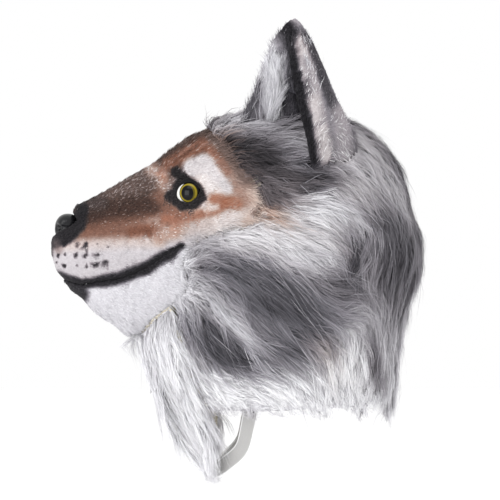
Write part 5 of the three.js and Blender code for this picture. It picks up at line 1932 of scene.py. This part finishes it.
@dataclass
class ThroatBand:
    """Flat woven tape from one side of the hem round the tip of the bib to the other."""

    width: float = 15.0
    thickness: float = 1.5
    across: int = 6

    def build(self) -> None:
        """Build the band."""
        half = [(Vector((stop.x, stop.y, stop.z)), Vector((stop.face_x, stop.face_y, stop.face_z)))
                for stop in BAND_STOPS]
        mirror = Vector((-1, 1, 1))
        other = [(spot * mirror, face * mirror) for spot, face in reversed(half[:-1])]
        stops = half + other
        mesh = bmesh.new()
        tape = mesh.loops.layers.uv.new("Tape")
        rows = []
        run = 0.0
        for index, (spot, face) in enumerate(stops):
            before, after = stops[max(index - 1, 0)][0], stops[min(index + 1, len(stops) - 1)][0]
            way = (after - before).normalized()
            side = way.cross(face).normalized()
            if index:
                run += (spot - stops[index - 1][0]).length
            row = []
            for step in range(self.across + 1):
                share = step / self.across - 0.5
                crown = -0.6 * (2 * share) ** 2
                row.append(mesh.verts.new((spot + side * self.width * share + face * crown) * MM))
            rows.append((row, run))
        for (low, first), (high, last) in zip(rows[:-1], rows[1:]):
            for step in range(self.across):
                face = mesh.faces.new((low[step], low[step + 1], high[step + 1], high[step]))
                spots = ((step, first), (step + 1, first), (step + 1, last), (step, last))
                for loop, (column, length) in zip(face.loops, spots):
                    loop[tape].uv = (column / self.across, length)
        data = bpy.data.meshes.new("throat_band_tape")
        mesh.to_mesh(data)
        mesh.free()
        piece = placed("throat_band_tape", data)
        apply_modifier(piece, "SOLIDIFY", thickness=self.thickness * MM, offset=0.0)
        apply_modifier(piece, "SUBSURF", levels=2, render_levels=2)
        bpy.ops.object.shade_smooth()
        enter(piece, Slot.BAND, WovenBand().make(), "throat_band")


@dataclass
class Studio:
    """Pale floor and backdrop, soft lights and the camera."""

    floor_below: float = 0.62
    lens: float = 200.0

    def build(self) -> None:
        """Build the studio."""
        deselect()
        bpy.ops.mesh.primitive_plane_add(size=14.0, location=(0, 0, -self.floor_below))
        floor = bpy.context.object
        floor.name = "studio_floor"
        floor.data.transform(Matrix.Translation(floor.location))
        floor.location = (0, 0, 0)
        material, tree = start_material("matt_white_paper")
        white = linear("#ffffff")
        end_material(tree, {"Base Color": white, "Roughness": 0.95, "Emission Color": white,
                            "Emission Strength": 0.03}, {})
        floor.data.materials.append(material)
        world = bpy.data.worlds.new("studio_world")
        world.use_nodes = True
        world.node_tree.nodes["Background"].inputs["Color"].default_value = white
        world.node_tree.nodes["Background"].inputs["Strength"].default_value = 1.0
        bpy.context.scene.world = world
        bpy.context.scene.view_settings.view_transform = "Standard"
        self.light("key_softbox", (1.6, -1.2, 1.6), 1.4, 20.0)
        self.light("catch_light", (1.6, -1.9, 0.0), 1.0, 16.0)
        self.light("rear_softbox", (-0.8, 1.8, 1.4), 1.2, 14.0)
        camera = bpy.data.cameras.new("side_camera")
        camera.lens = self.lens
        camera.sensor_width = 36.0
        holder = placed("side_camera", camera)
        holder.location = (VIEWING_DISTANCE * MM, (CHART_MIDDLE[0] - CHART_SEAT[0]) * MM,
                           (CHART_SEAT[1] - CHART_MIDDLE[1]) * MM)
        holder.rotation_mode = "QUATERNION"
        holder.rotation_quaternion = Vector((-1, 0, 0)).to_track_quat("-Z", "Y")
        bpy.context.scene.camera = holder

    def light(self, name: str, spot: tuple[float, float, float], size: float, power: float) -> None:
        """Add a square soft light that faces the mask.

        Args:
            name: Its name.
            spot: Its place in metres.
            size: Its side in metres.
            power: Its power in watts.
        """
        data = bpy.data.lights.new(name, "AREA")
        data.size = size
        data.energy = power
        lamp = placed(name, data)
        lamp.location = spot
        lamp.rotation_mode = "QUATERNION"
        lamp.rotation_quaternion = (Vector((0, -0.05, -0.12)) - Vector(spot)).to_track_quat("-Z", "Y")


def main() -> None:
    """Build the mask and its studio."""
    logging.basicConfig(level=logging.INFO, format="%(message)s")
    Studio().build()
    Face().build()
    ears = Ears()
    ears.build()
    Hood().build(ears.blockers)
    Bib().build()
    Eyes().build()
    Nose().build()
    ThroatBand().build()
    total = sum(len(face.vertices) - 2 for piece in bpy.context.scene.objects
                if piece.type == "MESH" and "replaced" not in piece and not piece.hide_render
                for face in piece.data.polygons)
    LOG.info("triangles in all: %d", total)


if __name__ == "__main__":
    main()
